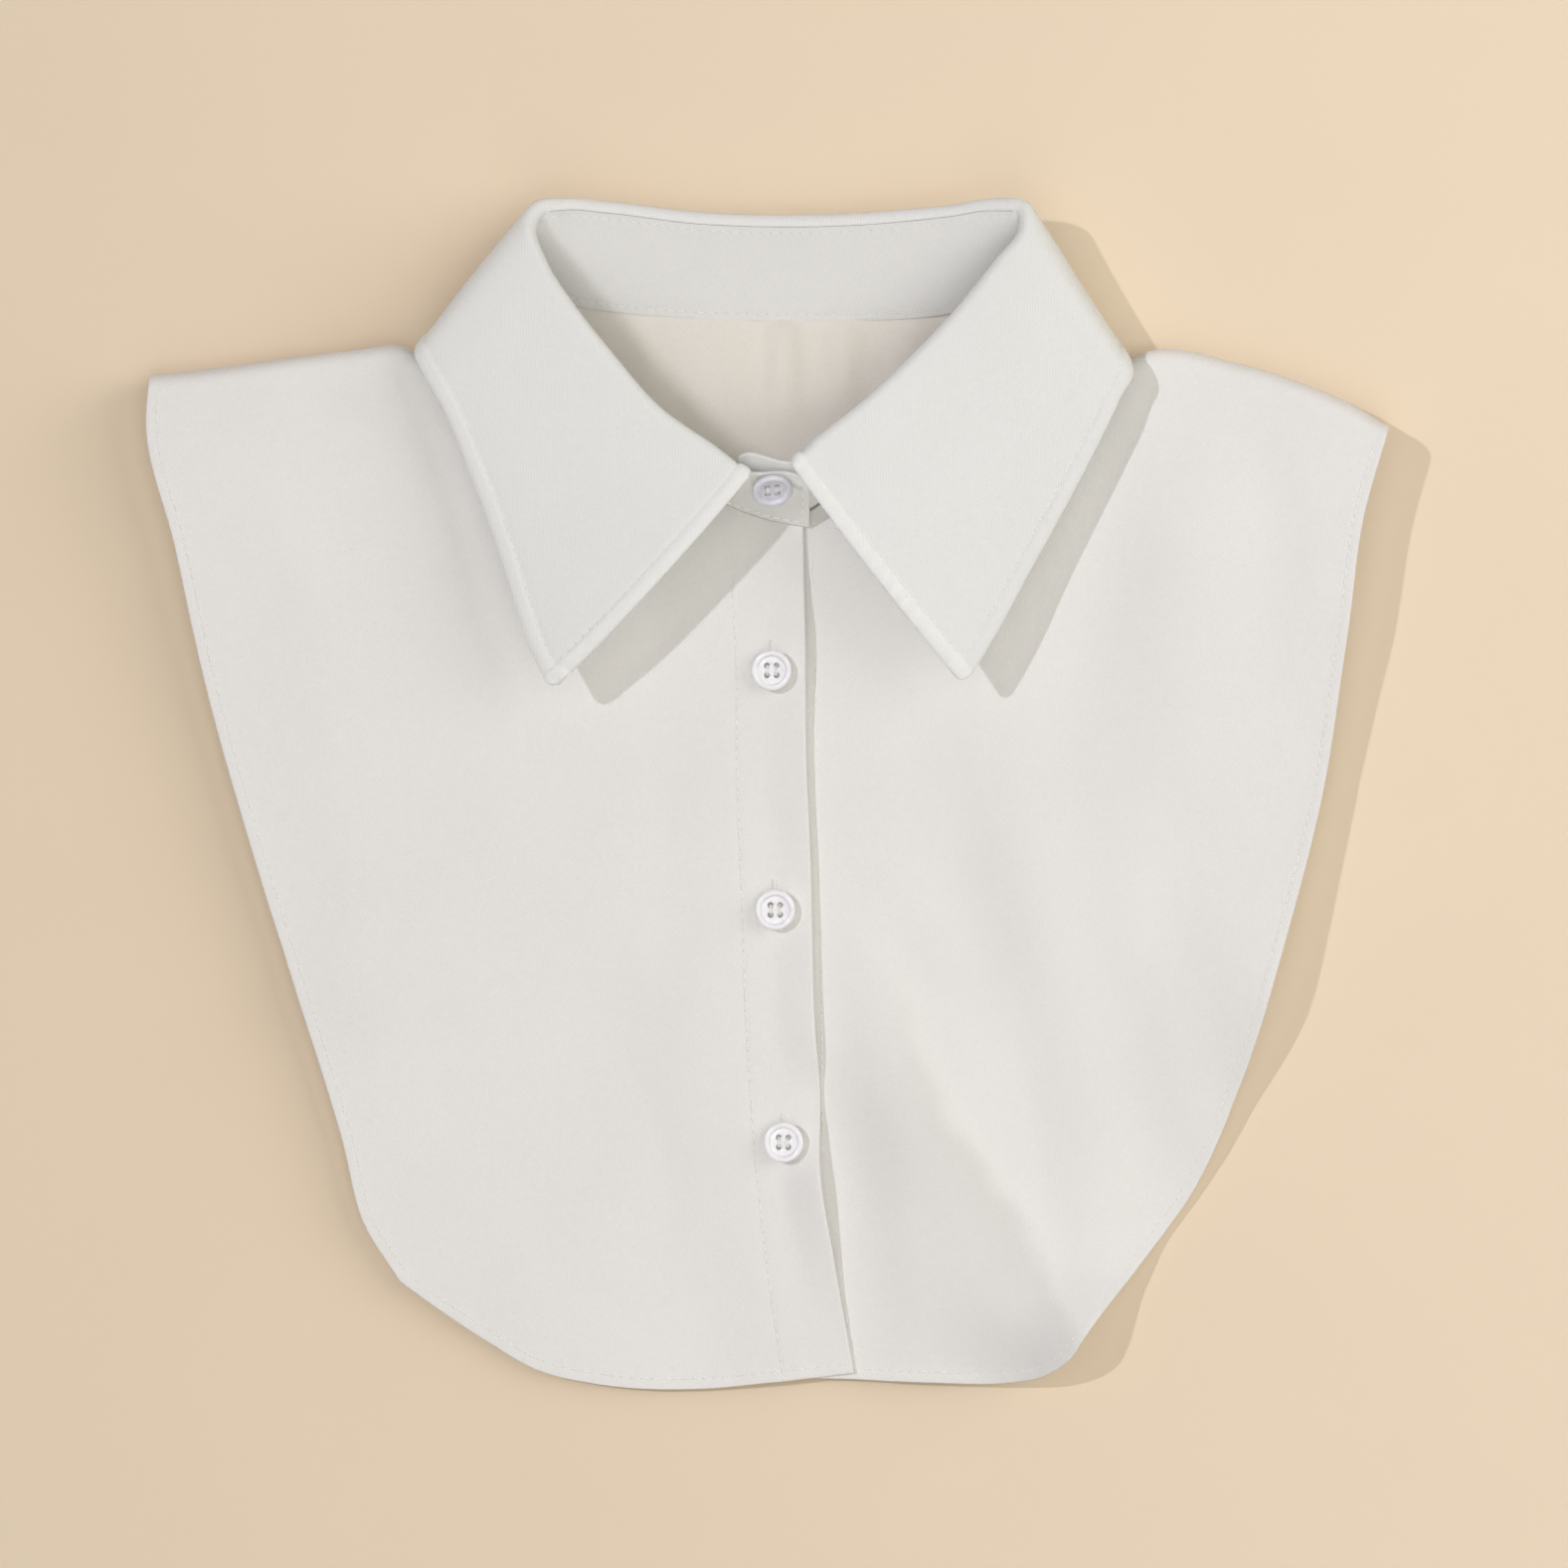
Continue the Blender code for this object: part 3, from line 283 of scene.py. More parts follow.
def spline(knots, values, places):
    """Pass a smooth curve through values at knots and read it at places."""
    knots = np.asarray(knots, float)
    values = np.asarray(values, float).reshape(len(knots), -1)
    steps = np.diff(knots)
    slopes = np.diff(values, axis=0) / steps[:, None]
    tangents = np.empty_like(values)
    tangents[0] = slopes[0]
    tangents[-1] = slopes[-1]
    before, after = steps[:-1, None], steps[1:, None]
    tangents[1:-1] = (slopes[:-1] * after + slopes[1:] * before) / (before + after)
    places = np.clip(np.asarray(places, float), knots[0], knots[-1])
    index = np.clip(np.searchsorted(knots, places, side="right") - 1, 0, len(steps) - 1)
    step = steps[index][:, None]
    share = ((places - knots[index]) / steps[index])[:, None]
    start = values[index] * (1 + 2 * share) * (1 - share) ** 2
    start += tangents[index] * step * share * (1 - share) ** 2
    end = values[index + 1] * share ** 2 * (3 - 2 * share)
    end -= tangents[index + 1] * step * share ** 2 * (1 - share)
    return start + end


def chord_lengths(points):
    """Give each point's distance along the line through the points."""
    steps = np.linalg.norm(np.diff(np.asarray(points, float), axis=0), axis=1)
    return np.concatenate(([0.0], np.cumsum(steps)))


def outline(points, count=240):
    """Read a smooth outline through points as a dense line."""
    lengths = chord_lengths(points)
    return spline(lengths, points, np.linspace(0.0, lengths[-1], count))


def along_line(line, shares):
    """Read a dense line at shares of its length."""
    lengths = chord_lengths(line)
    places = np.asarray(shares, float) * lengths[-1]
    return np.stack([np.interp(places, lengths, column) for column in np.asarray(line, float).T], axis=1)


def beside_line(places, line):
    """Give each place's distance from a line and how far along the line it lies."""
    places = np.asarray(places, float)
    flat = places.reshape(-1, 1, places.shape[-1])
    starts = np.asarray(line, float)[:-1]
    runs = np.diff(np.asarray(line, float), axis=0)
    squares = np.maximum(np.sum(runs * runs, axis=-1), 1e-12)
    share = np.clip(np.sum((flat - starts) * runs, axis=-1) / squares, 0.0, 1.0)
    gaps = np.linalg.norm(flat - starts - share[..., None] * runs, axis=-1)
    best = np.argmin(gaps, axis=1)
    row = np.arange(len(flat))
    along = chord_lengths(line)[best] + share[row, best] * np.sqrt(squares[best])
    return gaps[row, best].reshape(places.shape[:-1]), along.reshape(places.shape[:-1])


def plate_kernel(distance):
    """Give the bending of a thin plate at a distance from a point that holds it."""
    safe = np.maximum(distance, 1e-9)
    return safe * safe * np.log(safe)


def bend_plate(rows):
    """Bend a thin plate through rows of x, y and height, and return a function of places."""
    rows = np.asarray(rows, float)
    places, heights = rows[:, :2], rows[:, 2]
    count = len(rows)
    system = np.zeros((count + 3, count + 3))
    system[:count, :count] = plate_kernel(np.linalg.norm(places[:, None] - places[None], axis=-1))
    system[:count, count] = 1.0
    system[:count, count + 1:] = places
    system[count:, :count] = system[:count, count:].T
    weights = np.linalg.solve(system, np.concatenate((heights, np.zeros(3))))

    def height(points):
        points = np.asarray(points, float)
        distance = np.linalg.norm(points[..., None, :] - places, axis=-1)
        bent = plate_kernel(distance) @ weights[:count]
        return bent + weights[count] + points @ weights[count + 1:]

    return height


FRONT_PLATE = bend_plate(FRONT_LIFTS)


def cloth_waves(plan, seed):
    """Give the uneven waves that laid cloth keeps."""
    total = 0.0
    for number, (wave, degrees, rise) in enumerate(CLOTH_WAVES):
        angle = math.radians(degrees)
        run = plan @ np.array((math.cos(angle), math.sin(angle)))
        side = plan @ np.array((-math.sin(angle), math.cos(angle)))
        phase = seed * 2.4 + number * 1.9
        bend = 1.1 * np.sin(2 * math.pi * side / (1.7 * wave) + phase * 1.3)
        total = total + rise * np.sin(2 * math.pi * run / wave + phase + bend)
    return total


def wander(along, wave, seed):
    """Give an uneven wave between about -1 and 1 along a line."""
    turn = 2 * math.pi * np.asarray(along, float) / wave
    mixed = 0.5 * np.sin(turn + seed) + 0.32 * np.sin(turn * 1.63 + seed * 2.1)
    mixed = mixed + 0.26 * np.sin(turn * 0.59 + seed * 3.3)
    return mixed * (0.65 + 0.35 * np.sin(turn * 0.17 + seed * 1.7))


def front_height(points):
    """Give the height of the fronts' underside where only the back panel is below them."""
    height = FRONT_PLATE(points)
    for start, end, half_width, rise in FRONT_FOLDS:
        distance, _ = beside_line(points, (start, end))
        height = height + rise * bell(distance, half_width)
    return np.maximum(height, LAYER_STEP)


def table_value(table, places):
    """Read the second column of a table against its first one."""
    columns = np.asarray(sorted(table), float)
    flat = np.atleast_1d(np.asarray(places, float)).ravel()
    return spline(columns[:, 0], columns[:, 1], flat).reshape(np.shape(places))


def placket_edge_x(heights_up):
    """Give the placket's free edge as x at each y."""
    return table_value([(y, x) for x, y in PLACKET_EDGE], heights_up)


def over_height(points):
    """Give the underside of the upper front and its placket, which lie over the lower front."""
    points = np.asarray(points, float)
    edge = placket_edge_x(points[..., 1])
    hidden_edge = edge - UNDERLAP
    layers = smooth_step(points[..., 0], hidden_edge - RAMP_LENGTH, hidden_edge - SEAM_GAP)
    free = smooth_step(points[..., 0], edge - PLACKET_FREE_LENGTH, edge)
    free_lift = np.maximum(table_value(PLACKET_LIFTS, points[..., 1]), 0.0)
    return front_height(points) + LAYER_STEP * layers + free_lift * free


def crease_height(points):
    """Give the smaller creases and waves of the fronts, which fade out at the closure."""
    height = cloth_waves(points, 1.0)
    for start, end, half_width, rise in SOFT_CREASES:
        distance, _ = beside_line(points, (start, end))
        height = height + rise * bell(distance, half_width)
    fade = smooth_step(np.abs(points[..., 0] - 3.0), 12.0, 40.0)
    for start, end, left_width, right_width, rise in SHARP_CREASES:
        run = unit(np.subtract(end, start))
        offset = points - np.array(start)
        side = offset @ np.array((-run[1], run[0]))
        along = offset @ run
        past = np.maximum(-along, along - np.linalg.norm(np.subtract(end, start)))
        shape = bell(side, np.where(side * run[1] > 0, left_width, right_width))
        height = height + rise * shape * (1.0 - smooth_step(past, -CREASE_END, CREASE_END))
    return height * fade


def kept_over_back(height, crease):
    """Add creases to a front's height, and keep the front over the back panel."""
    return np.maximum(height + crease, LAYER_STEP - BACK_CLEARANCE)


def patch(top, bottom, left, right, across, up):
    """Fill four edges with a grid of plan points; top and bottom run left to right, the others up."""
    columns = np.asarray(across)[:, None, None]
    rows = np.asarray(up)[None, :, None]
    level = (1 - columns) * left[None] + columns * right[None]
    rising = (1 - rows) * bottom[:, None] + rows * top[:, None]
    corners = (1 - columns) * (1 - rows) * bottom[0] + columns * (1 - rows) * bottom[-1]
    corners = corners + (1 - columns) * rows * top[0] + columns * rows * top[-1]
    return level + rising - corners


def fine_shares(length, start_lines=EDGE_LINES, end_lines=(0.0,), step=CLOTH_STEP):
    """Space the lines of a grid over a length, closer together near rounded or stitched edges."""
    start = np.asarray(start_lines)
    end = length - np.asarray(end_lines)[::-1]
    count = max(2, int(math.ceil((end[0] - start[-1]) / step)) + 1)
    middle = np.linspace(start[-1], end[0], count)
    return np.concatenate((start[:-1], middle, end[1:])) / length


def collar_rows():
    """Give the collar's places along its length with its crest and seam, the stand's ends included."""
    outer = [np.concatenate(row) for row in STAND_OUTER_END]
    inner = [np.concatenate(row) for row in STAND_INNER_END]
    body = [np.concatenate((fold, seam)) for fold, seam, *_ in COLLAR_SECTIONS]
    rows = np.array(outer + body + inner)
    lengths = chord_lengths((rows[:, :3] + rows[:, 3:]) / 2)
    return lengths - lengths[len(outer)], rows


COLLAR_LENGTHS, COLLAR_ROWS = collar_rows()
COLLAR_KNOTS = COLLAR_LENGTHS[len(STAND_OUTER_END):len(STAND_OUTER_END) + len(COLLAR_SECTIONS)]


def stand_lines(places):
    """Give the fold's crest and the stand's seam at places along the collar."""
    values = spline(COLLAR_LENGTHS, COLLAR_ROWS, places)
    return values[:, :3], values[:, 3:]


def roll_frame(places):
    """Give the crest, the seam, and the stand's upward and outward directions along the collar."""
    ahead, _ = stand_lines(places + DIRECTION_STEP)
    behind, _ = stand_lines(places - DIRECTION_STEP)
    along = unit(ahead - behind)
    fold, seam = stand_lines(places)
    rise = fold - seam
    upward = unit(rise - np.sum(rise * along, axis=1, keepdims=True) * along)
    outward = np.cross(upward, along)
    return fold, seam, upward, outward


def neck_line(first, last, side_step):
    """Give a panel's neck edge in plan, beside the stand's seam, side_step towards the neck's middle."""
    places = np.linspace(first, last, max(8, int((last - first) / 1.2)))
    _, seam = stand_lines(places)
    _, ahead = stand_lines(places + DIRECTION_STEP)
    _, behind = stand_lines(places - DIRECTION_STEP)
    along = unit((ahead - behind)[:, :2])
    beside = np.stack((along[:, 1], -along[:, 0]), axis=1)
    return seam[:, :2] + beside * side_step


def moved_in(line, distance):
    """Move an outline in plan to the right of its run."""
    line = np.asarray(line, float)
    along = unit(np.gradient(line, axis=0))
    beside = np.stack((along[:, 1], -along[:, 0]), axis=1)
    return line + beside * distance


def with_height(plan, height):
    """Add the height column to plan points."""
    return np.concatenate((plan, np.asarray(height)[..., None]), axis=-1)


def grid_normals(grid):
    """Give the normal at each point of a grid, on the side from which its rows rise to the left."""
    return unit(np.cross(np.gradient(grid, axis=0), np.gradient(grid, axis=1)))


def upward_normals(grid):
    """Give a panel's normals, which face up."""
    normals = grid_normals(grid)
    return normals * np.where(normals[..., 2:] < 0, -1.0, 1.0)


def rounding(distance, half):
    """Give the share of its half thickness that a rounded edge has at a distance from it."""
    near = np.clip(1.0 - np.asarray(distance) / half, 0.0, 1.0)
    return np.sqrt(1.0 - near ** 2)


def stitch_relief(distance, along, seed, pucker_rise=PUCKER_RISE, wave=PUCKER_WAVE):
    """Sink a stitch line into cloth and pucker the cloth beside it."""
    drawn = wander(along, wave, seed)
    groove = -GROOVE_DEPTH * bell(distance, GROOVE_HALF) * (1.0 + 0.4 * drawn)
    return groove + pucker_rise * drawn * bell(distance, PUCKER_REACH)


def hem_relief(distance, along, seed, stitch=HEM_STITCH, pucker_rise=PUCKER_RISE, wave=PUCKER_WAVE):
    """Raise a turned hem up to its stitch line, and sink and pucker that line."""
    turned = HEM_RISE * (1.0 - smooth_step(distance, stitch, stitch + 1.6))
    return turned + stitch_relief(distance - stitch, along, seed, pucker_rise, wave)


# Materials

# Twill in millimetres, and the length of a wave texture's wave at scale 1
RIB_PITCH = 0.62
CROSS_PITCH = 0.74
WEAVE_HEIGHT = 0.09
WEAVE_STRENGTH = 0.7
WAVE_PERIOD = 0.314


def new_material(name):
    """Start a material and return its node tree and shader."""
    material = bpy.data.materials.new(name)
    material.use_nodes = True
    tree = material.node_tree
    return material, tree, tree.nodes["Principled BSDF"]


def stretched_noise(tree, coordinates, size, turn, detail, distortion=0.0):
    """Add a noise whose grains are size in millimetres along x, y and z, turned about z."""
    mapping = tree.nodes.new("ShaderNodeMapping")
    mapping.inputs["Rotation"].default_value = (0.0, 0.0, math.radians(turn))
    mapping.inputs["Scale"].default_value = [1.0 / (METRES_PER_MM * length) for length in size]
    noise = tree.nodes.new("ShaderNodeTexNoise")
    noise.inputs["Scale"].default_value = 1.0
    noise.inputs["Detail"].default_value = detail
    noise.inputs["Distortion"].default_value = distortion
    tree.links.new(coordinates, mapping.inputs["Vector"])
    tree.links.new(mapping.outputs["Vector"], noise.inputs["Vector"])
    return noise.outputs["Fac"]


def mixed(tree, first, second, operation, amount=None):
    """Join two values with a math node."""
    node = tree.nodes.new("ShaderNodeMath")
    node.operation = operation
    for socket, value in zip(node.inputs, (first, second, amount)):
        if value is None:
            continue
        if isinstance(value, (int, float)):
            socket.default_value = value
        else:
            tree.links.new(value, socket)
    return node.outputs["Value"]


def ramp(tree, value, stops):
    """Turn a value into a colour by stops of position and colour."""
    node = tree.nodes.new("ShaderNodeValToRGB")
    elements = node.color_ramp.elements
    for element, (position, colour) in zip(elements, (stops[0], stops[-1])):
        element.position = position
        element.color = colour
    for position, colour in stops[1:-1]:
        elements.new(position).color = colour
    tree.links.new(value, node.inputs["Fac"])
    return node.outputs["Color"]


def shaded(colour, factor):
    """Scale a colour and add its alpha."""
    return (*(part * factor for part in colour), 1.0)


def twill_lines(tree, coordinates, pitch, turn, uneven):
    """Add the fine ribs of twill, pitch in millimetres and turned about z."""
    mapping = tree.nodes.new("ShaderNodeMapping")
    mapping.inputs["Rotation"].default_value = (0.0, 0.0, math.radians(turn))
    wave = tree.nodes.new("ShaderNodeTexWave")
    wave.wave_type = "BANDS"
    wave.bands_direction = "X"
    wave.inputs["Scale"].default_value = WAVE_PERIOD / (pitch * METRES_PER_MM)
    wave.inputs["Distortion"].default_value = uneven
    wave.inputs["Detail"].default_value = 2.0
    wave.inputs["Detail Scale"].default_value = 0.6
    tree.links.new(coordinates, mapping.inputs["Vector"])
    tree.links.new(mapping.outputs["Vector"], wave.inputs["Vector"])
    return wave.outputs["Fac"]


# The long fold of the lower front and its painted shade: where it starts and ends, how far the painted shade reaches
# and how deep it is
FOLD_START = (20.0, -22.0)
FOLD_END = (86.0, -140.0)
FOLD_REACH = 52.0
FOLD_EDGE = 7.0
FOLD_FADE = 95.0
FOLD_SHADE = 0.9
FOLD_SWAY = 22.0


def fold_shade(tree, place, colour):
    """Darken a colour with painted shade beside the long fold, most at its line and less away from it."""
    run = unit(np.subtract(FOLD_END, FOLD_START))
    sway = mixed(tree, stretched_noise(tree, place, (36.0, 36.0, 36.0), 0.0, 2.0), 0.5, "SUBTRACT")
    sway = mixed(tree, sway, FOLD_SWAY, "MULTIPLY")
    shares = []
    for direction, stops in (((-run[1], run[0]), (-FOLD_REACH, -FOLD_EDGE, 0.0)), (run, (0.0, FOLD_FADE, FOLD_FADE))):
        dot = tree.nodes.new("ShaderNodeVectorMath")
        dot.operation = "DOT_PRODUCT"
        dot.inputs[1].default_value = (direction[0] / METRES_PER_MM, direction[1] / METRES_PER_MM, 0.0)
        tree.links.new(place, dot.inputs[0])
        offset = -float(np.dot(np.array(FOLD_START) + CENTRE_SHIFT[:2], direction))
        distance = mixed(tree, mixed(tree, dot.outputs["Value"], offset, "ADD"), sway, "ADD")
        rise = tree.nodes.new("ShaderNodeMapRange")
        rise.interpolation_type = "SMOOTHSTEP"
        rise.inputs["From Min"].default_value = stops[0]
        rise.inputs["From Max"].default_value = stops[1]
        tree.links.new(distance, rise.inputs["Value"])
        shares.append(rise.outputs["Result"])
        if stops[2] > stops[1]:
            drop = tree.nodes.new("ShaderNodeMapRange")
            drop.interpolation_type = "SMOOTHSTEP"
            drop.inputs["From Min"].default_value = stops[2]
            drop.inputs["From Max"].default_value = stops[1]
            tree.links.new(distance, drop.inputs["Value"])
            shares.append(drop.outputs["Result"])
    total = mixed(tree, mixed(tree, shares[0], shares[1], "MULTIPLY"), shares[2], "MULTIPLY")
    scaled = tree.nodes.new("ShaderNodeVectorMath")
    scaled.operation = "SCALE"
    tree.links.new(colour, scaled.inputs[0])
    tree.links.new(mixed(tree, mixed(tree, total, FOLD_SHADE - 1.0, "MULTIPLY"), 1.0, "ADD"), scaled.inputs["Scale"])
    return scaled.outputs["Vector"]


def cloth_material(name, colour, turn=0.0, folded=False):
    """Make fine off-white cotton twill: ribs, crossed threads and a soft uneven surface; when folded, add the fold's
    painted shade.
    """
    material, tree, shader = new_material(name)
    place = tree.nodes.new("ShaderNodeTexCoord").outputs["Object"]
    ribs = twill_lines(tree, place, RIB_PITCH, turn + 28.0, 3.0)
    crossed = twill_lines(tree, place, CROSS_PITCH, turn - 34.0, 3.0)
    grain = stretched_noise(tree, place, (0.5, 1.1, 0.9), turn - 12.0, 2.0)
    soft = stretched_noise(tree, place, (5.0, 7.0, 6.0), turn, 3.0, 0.4)
    broad = stretched_noise(tree, place, (60.0, 80.0, 60.0), 20.0, 2.0)
    weave = mixed(tree, mixed(tree, ribs, crossed, "ADD"), 0.25, "MULTIPLY")
    weave = mixed(tree, weave, mixed(tree, grain, 0.5, "MULTIPLY"), "ADD")
    fine = tree.nodes.new("ShaderNodeBump")
    fine.inputs["Strength"].default_value = WEAVE_STRENGTH
    fine.inputs["Distance"].default_value = WEAVE_HEIGHT * METRES_PER_MM
    tree.links.new(weave, fine.inputs["Height"])
    gentle = tree.nodes.new("ShaderNodeBump")
    gentle.inputs["Strength"].default_value = 0.3
    gentle.inputs["Distance"].default_value = 0.0005
    tree.links.new(soft, gentle.inputs["Height"])
    tree.links.new(fine.outputs["Normal"], gentle.inputs["Normal"])
    tree.links.new(gentle.outputs["Normal"], shader.inputs["Normal"])
    tone = mixed(tree, mixed(tree, broad, 0.3, "MULTIPLY"), mixed(tree, weave, 0.7, "MULTIPLY"), "ADD")
    stops = ((0.3, shaded(colour, 0.93)), (0.5, shaded(colour, 1.0)), (0.7, shaded(colour, 1.05)))
    base = ramp(tree, tone, stops)
    # Painted shade beside the long fold darkens the colour
    if folded:
        base = fold_shade(tree, place, base)
    tree.links.new(base, shader.inputs["Base Color"])
    shader.inputs["Roughness"].default_value = 0.88
    shader.inputs["Specular IOR Level"].default_value = 0.25
    shader.inputs["Sheen Weight"].default_value = 0.08
    shader.inputs["Sheen Roughness"].default_value = 0.6
    material.diffuse_color = shaded(colour, 1.0)
    return material


def thread_material(name, colour):
    """Make spun sewing thread, a little shinier than the cloth."""
    material, tree, shader = new_material(name)
    place = tree.nodes.new("ShaderNodeTexCoord").outputs["Object"]
    twist = stretched_noise(tree, place, (0.12, 0.12, 0.12), 0.0, 2.0)
    bump = tree.nodes.new("ShaderNodeBump")
    bump.inputs["Strength"].default_value = 0.4
    bump.inputs["Distance"].default_value = 0.00005
    tree.links.new(twist, bump.inputs["Height"])
    tree.links.new(bump.outputs["Normal"], shader.inputs["Normal"])
    stops = ((0.3, shaded(colour, 0.94)), (0.7, shaded(colour, 1.03)))
    tree.links.new(ramp(tree, twist, stops), shader.inputs["Base Color"])
    shader.inputs["Roughness"].default_value = 0.6
    return material


def resin_material(name, colour):
    """Make pale translucent button resin with faint clouds in it."""
    material, tree, shader = new_material(name)
    place = tree.nodes.new("ShaderNodeTexCoord").outputs["Object"]
    cloud = stretched_noise(tree, place, (2.6, 3.6, 2.6), 30.0, 3.0, 0.6)
    stops = ((0.3, shaded(colour, 0.93)), (0.55, shaded(colour, 1.0)), (0.75, shaded(colour, 1.06)))
    tree.links.new(ramp(tree, cloud, stops), shader.inputs["Base Color"])
    polish = stretched_noise(tree, place, (1.1, 1.1, 1.1), 0.0, 2.0)
    gloss = mixed(tree, mixed(tree, polish, 0.1, "MULTIPLY"), 0.16, "ADD")
    tree.links.new(gloss, shader.inputs["Roughness"])
    shader.inputs["IOR"].default_value = 1.54
    shader.inputs["Subsurface Weight"].default_value = 0.3
    shader.inputs["Subsurface Radius"].default_value = (0.0012, 0.0011, 0.0014)
    shader.inputs["Subsurface Scale"].default_value = 1.0
    return material


def table_material(name, colour):
    """Make a smooth matt painted table top."""
    material, tree, shader = new_material(name)
    place = tree.nodes.new("ShaderNodeTexCoord").outputs["Object"]
    grain = stretched_noise(tree, place, (0.8, 0.8, 0.8), 0.0, 4.0)
    broad = stretched_noise(tree, place, (110.0, 90.0, 100.0), 0.0, 2.0)
    bump = tree.nodes.new("ShaderNodeBump")
    bump.inputs["Strength"].default_value = 0.25
    bump.inputs["Distance"].default_value = 0.0001
    tree.links.new(grain, bump.inputs["Height"])
    tree.links.new(bump.outputs["Normal"], shader.inputs["Normal"])
    tone = mixed(tree, mixed(tree, broad, 0.7, "MULTIPLY"), mixed(tree, grain, 0.3, "MULTIPLY"), "ADD")
    stops = ((0.25, shaded(colour, 0.985)), (0.75, shaded(colour, 1.015)))
    tree.links.new(ramp(tree, tone, stops), shader.inputs["Base Color"])
    shader.inputs["Roughness"].default_value = 0.8
    shader.inputs["Specular IOR Level"].default_value = 0.2
    return material


CLOTH_COLOUR = (0.82, 0.815, 0.795)
THREAD_COLOUR = (0.88, 0.87, 0.85)
# Dark colour of the needle-hole discs, painted shade of the holes
HOLE_SHADE_COLOUR = (0.58, 0.54, 0.49)
LEAF_COLOUR = (0.808, 0.818, 0.803)
# The stand is the fronts' cloth painted a little darker: painted shade, as it sits inside the neck
STAND_SHADE_COLOUR = (0.745, 0.748, 0.738)
RESIN_COLOUR = (0.94, 0.94, 0.98)
# Darker, bluer resin of the neck button: painted shade of the leaf's shadow over it
NECK_RESIN_SHADE_COLOUR = (0.76, 0.765, 0.83)
# The back panel is the fronts' cloth painted darker and warmer: painted shade and warm bounce light inside the neck
BACK_SHADE_COLOUR = (0.77, 0.74, 0.68)
TABLE_COLOUR = (0.757, 0.632, 0.474)

THREAD = thread_material("sewing_thread", THREAD_COLOUR)
# The needle-hole discs use the thread material in the dark colour: painted shade
NEEDLE_HOLE_SHADE = thread_material("needle_hole_shade", HOLE_SHADE_COLOUR)
RESIN = resin_material("button_resin", RESIN_COLOUR)
# The neck button's resin, painted darker as shade
NECK_RESIN_SHADE = resin_material("neck_button_shaded_resin", NECK_RESIN_SHADE_COLOUR)


# Meshes

def finish_mesh(name, points, faces, material, sharp_degrees=60.0):
    """Make a smooth-shaded piece from points in metres and faces, joined where points meet."""
    mesh = bpy.data.meshes.new(name)
    mesh.from_pydata(points.tolist(), [], faces)
    shape = bmesh.new()
    shape.from_mesh(mesh)
    bmesh.ops.remove_doubles(shape, verts=shape.verts, dist=2e-6)
    shape.to_mesh(mesh)
    shape.free()
    mesh.polygons.foreach_set("use_smooth", [True] * len(mesh.polygons))
    mesh.set_sharp_from_angle(angle=math.radians(sharp_degrees))
    mesh.materials.append(material)
    piece = bpy.data.objects.new(name, mesh)
    bpy.context.scene.collection.objects.link(piece)
    return piece


def add_shell(name, grid, normals, bottom, top, material):
    """Close a grid of points into a cloth piece between bottom and top along its normals."""
    columns, rows = grid.shape[:2]
    outer = grid + normals * top[..., None]
    inner = grid + normals * bottom[..., None]
    points = np.concatenate((outer.reshape(-1, 3), inner.reshape(-1, 3)))
    points = (points + CENTRE_SHIFT) * METRES_PER_MM
    index = np.arange(columns * rows).reshape(columns, rows)
    near, far = index[:-1, :-1], index[1:, 1:]
    front = np.stack((near, index[1:, :-1], far, index[:-1, 1:]), axis=-1).reshape(-1, 4)
    back = front[:, ::-1] + columns * rows
    ring = np.concatenate((index[:-1, 0], index[-1, :-1], index[:0:-1, -1], index[0, :0:-1]))
    following = np.roll(ring, -1)
    wall = np.stack((ring, ring + columns * rows, following + columns * rows, following), axis=-1)
    faces = np.concatenate((front, back, wall)).tolist()
    return finish_mesh(name, points, faces, material)


def layer_offsets(layer, relief, edge_distance):
    """Give a layer's bottom and top, rounded where edge_distance runs out."""
    low, high = layer
    half = (high - low) / 2
    share = rounding(edge_distance, half)
    middle = low + half
    return middle - half * share, middle + half * share + relief * share


def stitch_places(points, pitch, seed):
    """Divide a line into stitches of slightly uneven length, as shares of its length."""
    total = chord_lengths(points)[-1]
    count = max(1, int(total / pitch))
    starts = (np.arange(count) + 0.5) / count
    uneven = 0.05 * np.sin(np.arange(count) * 12.9898 + seed) / count
    return starts + uneven, total


def needle_hole_shades(middles, normals, tangents):
    """Give the points and faces of flat dark discs between stitches, painted shade of the needle holes."""
    turn = np.linspace(0.0, 2 * math.pi, HOLE_SIDES, endpoint=False)
    sides = np.cross(normals, tangents)
    ring = np.cos(turn)[None, :, None] * tangents[:, None] + np.sin(turn)[None, :, None] * sides[:, None]
    points = middles[:, None] + normals[:, None] * HOLE_LIFT + ring * HOLE_RADIUS
    faces = [list(range(start, start + HOLE_SIDES)) for start in range(0, len(middles) * HOLE_SIDES, HOLE_SIDES)]
    return points.reshape(-1, 3), faces


